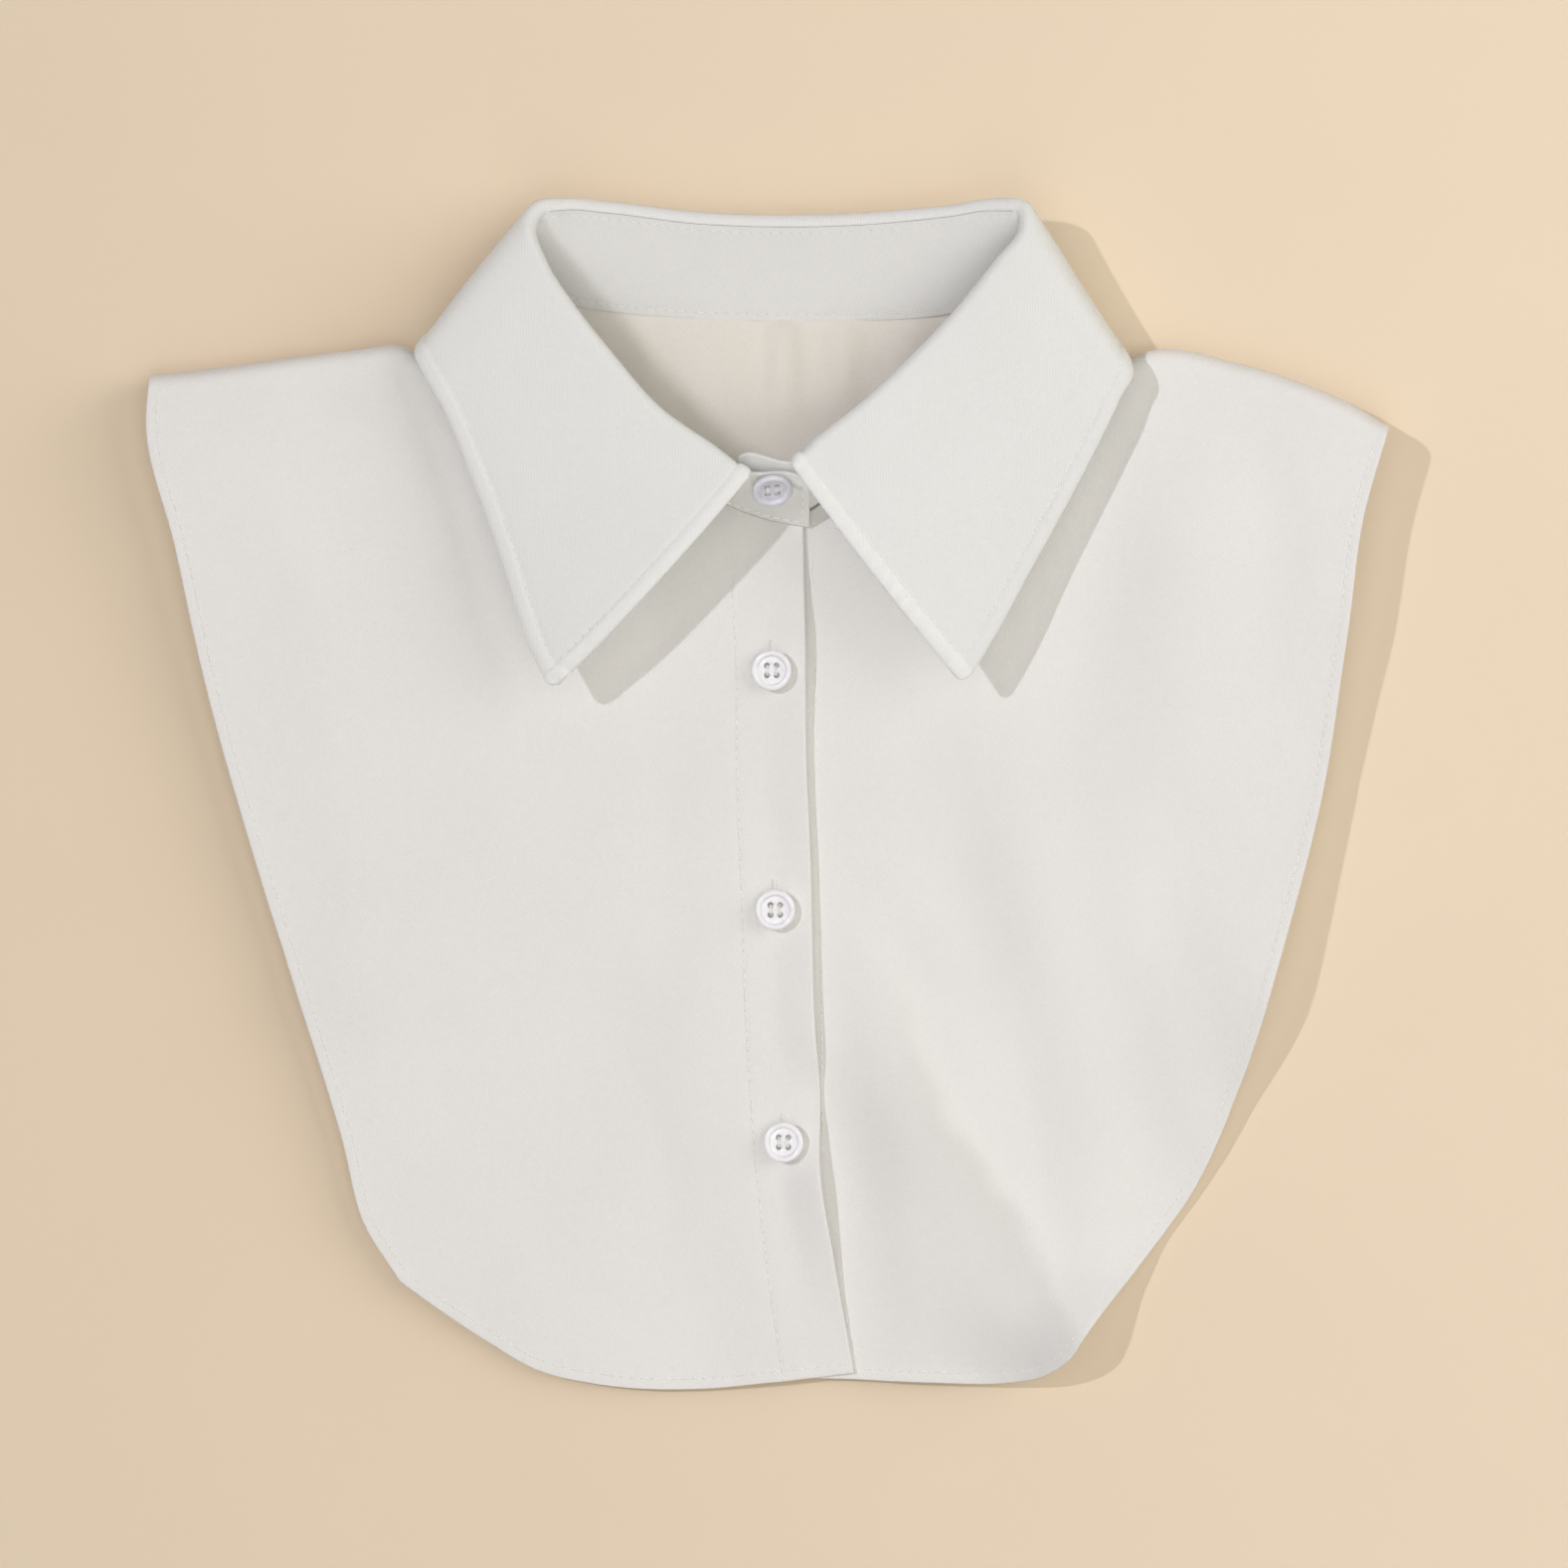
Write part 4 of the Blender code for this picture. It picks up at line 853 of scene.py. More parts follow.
def stitch_rows(rows, radius=THREAD_RADIUS, length=STITCH_LENGTH, pitch=STITCH_PITCH):
    """Give the points and faces of stitches sewn along rows, each a line of points with normals."""
    middles, tangents, normals, halves, holes = [], [], [], [], []
    for seed, (line, facing) in enumerate(rows):
        shares, total = stitch_places(line, pitch, seed)
        reach = length / total / 2
        start = along_line(line, np.clip(shares - reach, 0, 1))
        end = along_line(line, np.clip(shares + reach, 0, 1))
        middles.append((start + end) / 2)
        tangents.append(unit(end - start))
        normals.append(unit(along_line(facing, shares)))
        halves.append(np.linalg.norm(end - start, axis=1) / 2)
        # Discs between stitches carry the painted shade of the needle holes
        holes.append(along_line(line, (shares[1:] + shares[:-1]) / 2))
        facings = unit(along_line(facing, (shares[1:] + shares[:-1]) / 2))
        holes[-1] = np.stack((holes[-1], facings, tangents[-1][1:]))
    points, faces = stitch_mesh(*(np.concatenate(part) for part in (middles, tangents, normals, halves)), radius)
    hole_points, hole_faces = needle_hole_shades(*np.concatenate(holes, axis=1))
    faces += [[corner + len(points) for corner in face] for face in hole_faces]
    return np.concatenate((points, hole_points)), faces


def stitch_mesh(middles, tangents, normals, halves, radius):
    """Give the points and faces of thread stitches, whose ends dip into the cloth."""
    sides = np.cross(normals, tangents)
    rings = []
    turn = np.linspace(0.0, 2 * math.pi, STITCH_SIDES, endpoint=False)
    for run, width, lift in STITCH_RINGS:
        centre = middles + tangents * (halves * run)[:, None] + normals * (radius * lift)
        circle = np.cos(turn)[None, :, None] * sides[:, None] + np.sin(turn)[None, :, None] * normals[:, None]
        rings.append(centre[:, None] + circle * radius * width)
    points = np.stack(rings, axis=1)
    count = len(STITCH_RINGS) * STITCH_SIDES
    faces = []
    for ring in range(len(STITCH_RINGS) - 1):
        for side in range(STITCH_SIDES):
            after = (side + 1) % STITCH_SIDES
            low, high = ring * STITCH_SIDES, (ring + 1) * STITCH_SIDES
            faces.append((low + side, high + side, high + after, low + after))
    caps = [list(range(STITCH_SIDES)), list(range(count - 1, count - 1 - STITCH_SIDES, -1))]
    shapes = [list(face) for face in faces] + caps
    offsets = np.arange(len(middles)) * count
    every = [[corner + offset for corner in shape] for offset in offsets.tolist() for shape in shapes]
    return points.reshape(-1, 3), every


def add_stitches(name, rows, **sizes):
    """Make one piece of all the stitches along rows."""
    points, faces = stitch_rows(rows, **sizes)
    piece = finish_mesh(name, (points + CENTRE_SHIFT) * METRES_PER_MM, faces, THREAD)
    # Eight-sided faces are the needle-hole discs and take the dark material: painted shade
    piece.data.materials.append(NEEDLE_HOLE_SHADE)
    for polygon in piece.data.polygons:
        polygon.material_index = int(polygon.loop_total == HOLE_SIDES)
    return piece


def declare(piece, node):
    """Let a piece ride on the garment and stand for its solid."""
    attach(piece, "root")
    if node:
        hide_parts(node)
    return piece


def surface_rows(surface, line, lift):
    """Lay a plan line on a panel's surface and give its points and normals."""
    nudge = 0.4
    line = np.asarray(line, float)
    height = surface(line)
    across = (surface(line + (nudge, 0.0)) - surface(line - (nudge, 0.0))) / (2 * nudge)
    up = (surface(line + (0.0, nudge)) - surface(line - (0.0, nudge))) / (2 * nudge)
    normals = unit(np.stack((-across, -up, np.ones(len(line))), axis=1))
    return with_height(line, height) + normals * lift, normals


def inside_of(line, distance, start=0.0, end=1.0):
    """Give the line that runs beside an outline, distance to its right, between two shares of it."""
    return along_line(moved_in(line, distance), np.linspace(start, end, 200))


# Shoulders, sides and hems as dense lines
LEFT_NECK = COLLAR_KNOTS[LEFT_NECK_SECTION]
RIGHT_NECK = COLLAR_KNOTS[RIGHT_NECK_SECTION]
SEAM_LINE = outline(PLACKET_SEAM[::-1])
UNDER_SEAM_LINE = outline(UNDER_SEAM[::-1])


def turned_height(plan, line, height, side):
    """Bend a panel's height towards the shoulder seam, side above or below it."""
    distance, _ = beside_line(plan, line)
    near = np.clip(1.0 - distance / FRONT_TURN, 0.0, 1.0)
    seam = table_value(SHOULDER_SEAMS, plan[..., 0]) + side * SEAM_GAP / 2
    return seam + (height - seam) * np.sqrt(1.0 - near ** 2)


def make_front_over():
    """Make the upper front, hemmed along its armhole and hem and sewn to the placket."""
    shoulder = moved_in(outline(LEFT_SHOULDER), PANEL_WALL)
    neck = neck_line(PLACKET_NECK_PLACE, LEFT_NECK, FRONT_NECK_TUCK)[::-1]
    shoulder[-1] = neck[0]
    top_line = np.concatenate((shoulder, neck[1:]))
    side_line = outline(LEFT_SIDE[::-1])
    hem_line = outline(LEFT_HEM)
    across = fine_shares(170.0)
    up = fine_shares(240.0, end_lines=(0.0, 0.5, 1.2, 2.0, 3.0, 4.2, 5.6, 7.2))
    top = along_line(top_line, across)
    side = along_line(side_line, up)
    side = side + (top[0] - side[-1]) * smooth_step(up, SIDE_BLEND, 1.0)[:, None]
    seam = along_line(SEAM_LINE, up) - (0.01, 0.0)
    seam = seam + (top[-1] - seam[-1]) * smooth_step(up, 0.9, 1.0)[:, None]
    hem = along_line(hem_line, across)
    hem = hem + (seam[0] - hem[-1]) * across[:, None] ** HEM_BLEND_POWER
    plan = patch(top, hem, side, seam, across, up)

    def relief(places):
        side_gap, side_run = beside_line(places, side)
        hem_gap, hem_run = beside_line(places, hem)
        seam_gap, seam_run = beside_line(places, SEAM_LINE)
        raised = hem_relief(side_gap, side_run, 1.0) + hem_relief(hem_gap, hem_run, 2.0)
        return raised + stitch_relief(seam_gap, seam_run, 3.0), np.minimum(side_gap, hem_gap)

    def surface(places):
        height = turned_height(places, shoulder, kept_over_back(over_height(places), crease_height(places)), 1)
        return height + OVER_LAYER[1] + relief(places)[0]

    height = turned_height(plan, shoulder, kept_over_back(over_height(plan), crease_height(plan)), 1)
    raised, edge = relief(plan)
    grid = with_height(plan, height)
    bottom, crown = layer_offsets(OVER_LAYER, raised, edge)
    cloth = cloth_material("front_over_twill", CLOTH_COLOUR)
    piece = add_shell("front_over_cloth", grid, upward_normals(grid), bottom, crown, cloth)
    rows = [surface_rows(surface, inside_of(side, HEM_STITCH, 0.004, 0.985), 0.0),
            surface_rows(surface, inside_of(hem, -HEM_STITCH, 0.004, 1.0), 0.0)]
    sewn = add_stitches("front_over_stitches", rows)
    return piece, sewn


def make_placket():
    """Make the buttonhole band, sewn down along its inner side and folded at its free edge."""
    up = fine_shares(238.0)
    neck = neck_line(COLLAR_LENGTHS[0] + STAND_END_INSET, PLACKET_NECK_PLACE, FRONT_NECK_TUCK)[::-1]
    left = along_line(SEAM_LINE, up) + (0.01, 0.0)
    left = left + (neck[0] - left[-1]) * smooth_step(up, 0.9, 1.0)[:, None]
    right = along_line(outline(PLACKET_EDGE[::-1]), up)
    right = right + (neck[-1] - right[-1]) * smooth_step(up, 0.93, 1.0)[:, None]
    across = fine_shares(22.0, (0.0, 0.6, 1.2, 1.9), EDGE_LINES[:6], 1.5)
    top = along_line(neck, across)
    hem = left[0] * (1 - across[:, None]) + right[0] * across[:, None]
    plan = patch(top, hem, left, right, across, up)

    def relief(places):
        seam_gap, seam_run = beside_line(places, SEAM_LINE)
        edge_gap, edge_run = beside_line(places, right)
        hem_gap, hem_run = beside_line(places, hem)
        raised = stitch_relief(seam_gap, seam_run, 3.0) + hem_relief(hem_gap, hem_run, 4.0)
        folded = 0.12 * bell(edge_gap - 0.7, 0.8) * (1.0 + 0.6 * wander(edge_run, 14.0, 2.0))
        soft = 0.22 * bell(edge_gap - 9.0, 5.0) * wander(edge_run, 31.0, 5.0)
        return raised + folded + soft, np.minimum(edge_gap, hem_gap)

    def surface(places):
        return over_height(places) + crease_height(places) + PLACKET_LAYER[1] + relief(places)[0]

    raised, edge = relief(plan)
    grid = with_height(plan, over_height(plan) + crease_height(plan))
    bottom, crown = layer_offsets(PLACKET_LAYER, raised, edge)
    cloth = cloth_material("placket_twill", CLOTH_COLOUR)
    piece = add_shell("placket_cloth", grid, upward_normals(grid), bottom, crown, cloth)
    rows = [surface_rows(surface, along_line(SEAM_LINE, np.linspace(0.0, 0.97, 300)), 0.02),
            surface_rows(surface, inside_of(hem, -HEM_STITCH, 0.0, 0.97), 0.0)]
    sewn = add_stitches("placket_stitches", rows)
    return piece, sewn, surface


def make_front_under():
    """Make the lower front, hemmed along its armhole and hem, its button edge under the placket."""
    shoulder = moved_in(outline(RIGHT_SHOULDER), -PANEL_WALL)
    neck = neck_line(RIGHT_NECK, COLLAR_LENGTHS[-1] - STAND_END_INSET, -SEAM_GAP)[::-1]
    shoulder[-1] = neck[-1]
    top_line = np.concatenate((neck, shoulder[::-1][1:]))
    side_line = outline(RIGHT_SIDE[::-1])
    hidden = np.array(PLACKET_EDGE[::-1], float) - (UNDERLAP, 0.0)
    hidden[-1] = neck[0]
    hidden[0] = RIGHT_HEM[-1]
    hidden_line = outline(hidden)
    hem_line = outline(RIGHT_HEM[::-1])
    across = 1.0 - fine_shares(178.0)[::-1]
    up = fine_shares(240.0, end_lines=(0.0, 0.5, 1.2, 2.0, 3.0, 4.2, 5.6, 7.2))
    top = along_line(top_line, across)
    side = along_line(side_line, up)
    side = side + (top[-1] - side[-1]) * smooth_step(up, SIDE_BLEND, 1.0)[:, None]
    plan = patch(top, along_line(hem_line, across), along_line(hidden_line, up), side, across, up)
    hem = along_line(hem_line, across)

    def relief(places):
        side_gap, side_run = beside_line(places, side)
        hem_gap, hem_run = beside_line(places, hem)
        seam_gap, seam_run = beside_line(places, UNDER_SEAM_LINE)
        raised = hem_relief(side_gap, side_run, 5.0) + hem_relief(hem_gap, hem_run, 6.0)
        raised = raised + stitch_relief(seam_gap, seam_run, 7.0, 0.2)
        hidden_gap, _ = beside_line(places, hidden_line)
        return raised, np.minimum(np.minimum(side_gap, hem_gap), hidden_gap)

    def surface(places):
        height = turned_height(places, shoulder, kept_over_back(front_height(places), crease_height(places)), 1)
        return height + UNDER_LAYER[1] + relief(places)[0]

    height = turned_height(plan, shoulder, kept_over_back(front_height(plan), crease_height(plan)), 1)
    raised, edge = relief(plan)
    grid = with_height(plan, height)
    bottom, crown = layer_offsets(UNDER_LAYER, raised, edge)
    # The lower front's colour carries the painted shade of its long fold
    cloth = cloth_material("front_under_twill", CLOTH_COLOUR, 0.0, True)
    piece = add_shell("front_under_cloth", grid, upward_normals(grid), bottom, crown, cloth)
    rows = [surface_rows(surface, inside_of(side, -HEM_STITCH, 0.004, 0.985), 0.0),
            surface_rows(surface, inside_of(hem, -HEM_STITCH, 0.1, 0.996), 0.0),
            surface_rows(surface, along_line(UNDER_SEAM_LINE, np.linspace(0.01, 0.96, 300)), 0.0)]
    sewn = add_stitches("front_under_stitches", rows)
    return piece, sewn


# Puckers of the back panel below the stand's seam: x at the seam, x lower down, half width and rise
BACK_PUCKERS = ((-34.0, -30.0, 4.0, 0.5), (-16.0, -15.0, 3.4, 0.5), (-2.0, -1.0, 2.6, -0.7), (4.0, 5.0, 3.0, 1.1),
                (13.0, 12.0, 3.4, -0.6), (21.0, 20.0, 3.2, 0.9), (31.0, 28.0, 3.6, -0.7), (40.0, 35.0, 3.4, 0.8),
                (50.0, 44.0, 3.4, -0.5))
BACK_PUCKER_SHARE = 2.0
BACK_PUCKER_TOP = 134.0
BACK_PUCKER_LENGTH = 30.0
NECK_SEAM_RISE = 1.1
NECK_SEAM_REACH = 9.0


def back_height(plan):
    """Give the back panel's underside: flat on the table, raised over the leaf and at the neck."""
    x, y = plan[..., 0], plan[..., 1]
    from_hem = smooth_step(y, LEAF_COVER_START_Y, LEAF_COVER_FULL_Y)
    to_side = 1.0 - smooth_step(np.abs(x), LEAF_COVER_FULL_X, LEAF_COVER_END_X)
    height = LEAF_COVER * from_hem * to_side
    for neck_x, neck_y in NECK_CORNERS:
        distance = np.hypot(x - neck_x, y - neck_y)
        height = height + NECK_CORNER_RISE * (1.0 - smooth_step(distance, 0.0, NECK_CORNER_REACH))
    return height


def back_puckers(plan):
    """Give the soft upright folds that the neck seam draws into the back panel."""
    x, y = plan[..., 0], plan[..., 1]
    down = np.clip((BACK_PUCKER_TOP - y) / BACK_PUCKER_LENGTH, 0.0, 2.0)
    total = 0.0
    for at_seam, lower, half_width, rise in BACK_PUCKERS:
        middle = at_seam + (lower - at_seam) * down
        fade = smooth_step(down, -0.02, 0.14) * (1.0 - smooth_step(down, 0.35, 1.35))
        total = total + BACK_PUCKER_SHARE * rise * bell(x - middle, half_width * (1.0 + 0.9 * down)) * fade
    return np.maximum(total, -0.9)


def make_back():
    """Make the back panel, which lies on the table and shows inside the neck."""
    left_shoulder = outline(LEFT_SHOULDER)
    right_shoulder = outline(RIGHT_SHOULDER)
    neck = neck_line(LEFT_NECK, RIGHT_NECK, SEAM_GAP - 1.0)
    top_line = np.concatenate((left_shoulder[:-1], neck, right_shoulder[::-1][1:]))
    across = fine_shares(345.0, EDGE_LINES[:6], EDGE_LINES[:6], 2.0)
    up = fine_shares(250.0, EDGE_LINES[:6], (0.0, 0.5, 1.2, 2.0, 3.0, 4.2, 5.6, 7.2), 2.6)
    top = along_line(top_line, across)
    left = moved_in(along_line(outline(LEFT_SIDE[::-1]), up), BACK_INSET)
    left = left + (top[0] - left[-1]) * smooth_step(up, SIDE_BLEND, 1.0)[:, None]
    right = moved_in(along_line(outline(RIGHT_SIDE[::-1]), up), -BACK_INSET)
    right = right + (top[-1] - right[-1]) * smooth_step(up, SIDE_BLEND, 1.0)[:, None]
    hem_points = np.concatenate((np.array(LEFT_HEM[:-2]), np.array(RIGHT_HEM[::-1][1:])))
    hem = moved_in(along_line(outline(hem_points), across), -BACK_INSET)
    hem[0], hem[-1] = left[0], right[0]
    plan = patch(top, hem, left, right, across, up)
    left_gap, _ = beside_line(plan, left_shoulder)
    right_gap, _ = beside_line(plan, right_shoulder)
    near = np.clip(1.0 - np.minimum(left_gap, right_gap) / SHOULDER_TURN, 0.0, 1.0)
    seam = table_value(SHOULDER_SEAMS, plan[..., 0]) - BACK_SEAM_DROP
    base = back_height(plan)
    height = seam + (base - seam) * np.sqrt(1.0 - near ** 2)
    side_gap = np.minimum(beside_line(plan, left)[0], beside_line(plan, right)[0])
    edge = np.minimum(side_gap, beside_line(plan, hem)[0])
    neck_gap, _ = beside_line(plan, neck)
    height = height + NECK_SEAM_RISE * bell(neck_gap, NECK_SEAM_REACH)
    grid = with_height(plan, height + np.maximum(back_puckers(plan), -base))
    bottom, crown = layer_offsets(BACK_LAYER, np.zeros(edge.shape), edge)
    # Darker, warmer colour of the same cloth: painted shade inside the neck
    cloth = cloth_material("back_shaded_twill", BACK_SHADE_COLOUR)
    return add_shell("back_cloth", grid, upward_normals(grid), bottom, crown, cloth)


def leaf_surface(places, turn_shares, leaf_shares):
    """Give the leaf's inner side: over the roll in an arc, then out to its edge with a slight bow."""
    edges = np.array([section[2] for section in COLLAR_SECTIONS])
    shapes = np.array([section[3:] for section in COLLAR_SECTIONS])
    edge = spline(COLLAR_KNOTS, edges, places)
    edge[:, 2] = np.maximum(edge[:, 2], LEAF_REST)
    from_tip = np.minimum(places - COLLAR_KNOTS[0], COLLAR_KNOTS[-1] - places)
    inset = np.clip(LEAF_TIP_RADIUS - from_tip, 0.0, LEAF_TIP_RADIUS)
    cut = LEAF_TIP_RADIUS - np.sqrt(LEAF_TIP_RADIUS ** 2 - inset ** 2)
    bow, sway, settle = spline(COLLAR_KNOTS, shapes, places).T[..., None]
    fold, _, upward, outward = roll_frame(places)
    start = fold - (ROLL_RADIUS + COLLAR_WALL) * upward
    edge = edge - unit(edge - fold) * LEAF_TIP_CUT * cut[:, None]
    reach = edge - fold
    level = unit(np.stack((reach[:, 1], -reach[:, 0], np.zeros(len(reach))), axis=1))
    rise = UP * bow - level * sway
    drop = UP * np.minimum(reach[:, 2:] + 2 * ROLL_RADIUS, 0.0)
    heading = reach + 4 * rise + drop * (settle - 1)
    turn = np.arctan2(np.sum(heading * outward, axis=1), np.sum(heading * upward, axis=1))
    turn = np.where(turn < 0, turn + 2 * math.pi, turn)
    rows = []
    for share in turn_shares:
        angle = (turn * share)[:, None]
        arc = np.sin(angle) * upward + (1 - np.cos(angle)) * outward
        rows.append(start + ROLL_RADIUS * arc)
    leave = rows[-1]
    for share in leaf_shares[1:]:
        straight = leave * (1 - share) + edge * share
        settled = (1 - share) ** settle - (1 - share)
        height = UP * (leave - edge)[:, 2:] * settled
        rows.append(straight + height + 4 * share * (1 - share) * rise)
    return np.stack(rows, axis=1)


def level_line(grid, normals, field, level, keep):
    """Give the line on a grid's outermost stretch where field comes to level, with its normals."""
    points, facing = [], []
    for column in range(len(grid)):
        row = int(np.max(np.nonzero(field[column] >= level)[0], initial=0))
        if row + 1 >= field.shape[1] or not keep[column, row]:
            continue
        here, there = field[column, row], field[column, row + 1]
        share = (here - level) / max(here - there, 1e-9)
        points.append(grid[column, row] * (1 - share) + grid[column, row + 1] * share)
        facing.append(normals[column, row] * (1 - share) + normals[column, row + 1] * share)
    return np.array(points), np.array(facing)


LEAF_WAVE_REST = 6.0
LEAF_STEP = 1.25
LEAF_TIP_RADIUS = 3.6
LEAF_TIP_CUT = 0.9
# Lighter tone of the leaf's turned edges: partly their four layers, partly painted light
LEAF_EDGE_LAYERS_AND_LIGHT_COLOUR = (0.86, 0.868, 0.853)
LEAF_EDGE_LINES = (0.0, 0.08, 0.25, 0.6, 1.3, 2.2, 3.2, 4.0, 4.5, 5.0, 5.7, 6.6)


def lighten_leaf_edges_layers_and_light(piece, grid):
    """Give the leaf's front edges a lighter tone: partly from the four layers of the turnings, partly painted light
    of the raised stitched band.
    """
    piece.data.materials.append(cloth_material("leaf_edge_layers_and_light_twill", LEAF_EDGE_LAYERS_AND_LIGHT_COLOUR, 35.0))
    count = len(piece.data.polygons)
    middles = np.zeros(count * 3)
    piece.data.polygons.foreach_get("center", middles)
    middles = middles.reshape(count, 3) / METRES_PER_MM - CENTRE_SHIFT
    gaps = [beside_line(middles, edge[8:])[0] for edge in (grid[0], grid[-1])]
    turned = np.minimum(*gaps) < LEAF_STITCH - 0.3
    piece.data.polygons.foreach_set("material_index", turned.astype(np.int32))


def make_leaf():
    """Make the leaf: two cloths turned and topstitched along its three free edges."""
    total = COLLAR_KNOTS[-1] - COLLAR_KNOTS[0]
    places = COLLAR_KNOTS[0] + total * fine_shares(total, LEAF_EDGE_LINES, LEAF_EDGE_LINES, LEAF_STEP)
    leaf_shares = 1.0 - fine_shares(70.0, LEAF_EDGE_LINES, (0.0,), LEAF_STEP)[::-1]
    grid = leaf_surface(places, np.linspace(0.0, 1.0, 11), leaf_shares)
    normals = grid_normals(grid)
    outer_gap, outer_run = beside_line(grid, grid[:, -1])
    right_gap, right_run = beside_line(grid, grid[0])
    left_gap, left_run = beside_line(grid, grid[-1])
    gaps = (outer_gap, right_gap, left_gap)
    runs = (outer_run, right_run, left_run)
    edge = np.minimum(np.minimum(outer_gap, right_gap), left_gap)
    relief, ridge = 0.0, 0.0
    for number, (gap, run) in enumerate(zip(gaps, runs)):
        drawn = wander(run, LEAF_PUCKER_WAVE, 1.0 + number)
        if number:
            uneven = 1.6 * wander(run, 31.0, 2.0 + number)
            drawn = np.sin(2 * math.pi * run / LEAF_PUCKER_WAVE + uneven)
            drawn = drawn * (0.6 + 0.5 * wander(run, 44.0, 5.0 + number))
        drawn = drawn * LEAF_PUCKERS[number]
        relief = relief - LEAF_GROOVE * bell(gap - LEAF_STITCH, LEAF_GROOVE_HALF) * (1.0 + 0.35 * drawn)
        relief = relief + LEAF_PUCKER_RISE * drawn * bell(gap - 2.6, 1.7)
        turned = smooth_step(gap, 0.2, 1.4) * (1.0 - smooth_step(gap, LEAF_STITCH - 1.1, LEAF_STITCH + 0.1))
        ridge = np.maximum(ridge, LEAF_RIDGE * turned)
    relief = (relief + ridge) * smooth_step(grid[..., 2], LEAF_REST, LEAF_WAVE_REST)
    body = smooth_step(edge, 5.0, 16.0)
    shift = cloth_waves(grid[..., :2], 4.0) * 0.6 * body
    shift = shift * smooth_step(grid[..., 2], LEAF_REST, LEAF_WAVE_REST)
    bottom, crown = layer_offsets(LEAF_LAYER, relief, edge)
    cloth = cloth_material("leaf_twill", LEAF_COLOUR, 35.0)
    piece = add_shell("collar_leaf_cloth", grid, normals, bottom + shift, crown + shift, cloth)
    # The turned edges get a lighter tone, partly painted light
    lighten_leaf_edges_layers_and_light(piece, grid)
    top = grid + normals * (crown + shift)[..., None]
    leaf_start = 11
    rows = []
    free = top[:, leaf_start:]
    facing = normals[:, leaf_start:]
    inside = (right_gap[:, leaf_start:] > LEAF_STITCH - 0.2) & (left_gap[:, leaf_start:] > LEAF_STITCH - 0.2)
    rows.append(level_line(free, facing, outer_gap[:, leaf_start:], LEAF_STITCH, inside))
    inner = outer_gap > LEAF_STITCH - 0.2
    turned = np.swapaxes(top, 0, 1)
    turned_normals = np.swapaxes(normals, 0, 1)
    keep = np.swapaxes(inner, 0, 1)
    rows.append(level_line(turned, turned_normals, np.swapaxes(left_gap, 0, 1), LEAF_STITCH, keep))
    rows.append(level_line(turned[:, ::-1], turned_normals[:, ::-1], np.swapaxes(right_gap, 0, 1)[:, ::-1],
                           LEAF_STITCH, keep[:, ::-1]))
    sewn = add_stitches("leaf_stitches", rows)
    return piece, sewn


def stand_surface(places, shares):
    """Give the stand's outer face from its seam up to just under the fold, with rounded ends."""
    fold, seam, upward, outward = roll_frame(places)
    top = fold - (ROLL_RADIUS + COLLAR_WALL + STAND_TOP_GAP) * upward
    from_end = np.minimum(places - COLLAR_LENGTHS[0], COLLAR_LENGTHS[-1] - places)
    inset = np.clip(STAND_END_RADIUS - from_end, 0.0, STAND_END_RADIUS)
    drop = STAND_END_RADIUS - np.sqrt(STAND_END_RADIUS ** 2 - inset ** 2)
    height = np.linalg.norm(top - seam, axis=1)
    top = top - (top - seam) * (drop / height)[:, None]
    shares = np.asarray(shares)[None, :, None]
    return seam[:, None] * (1 - shares) + top[:, None] * shares


def stand_row(first, last, height, count=260):
    """Give a line on the stand's outer face at a height over its seam, and how far inwards is."""
    places = np.linspace(first, last, count)
    _, seam, _, _ = roll_frame(places)
    top = stand_surface(places, (1.0,))[:, 0]
    if height < 0:
        line = top + unit(seam - top) * -height
    else:
        line = seam + unit(top - seam) * height
    grid = np.stack((seam, line, top), axis=1)
    return line, grid_normals(grid)[:, 1]


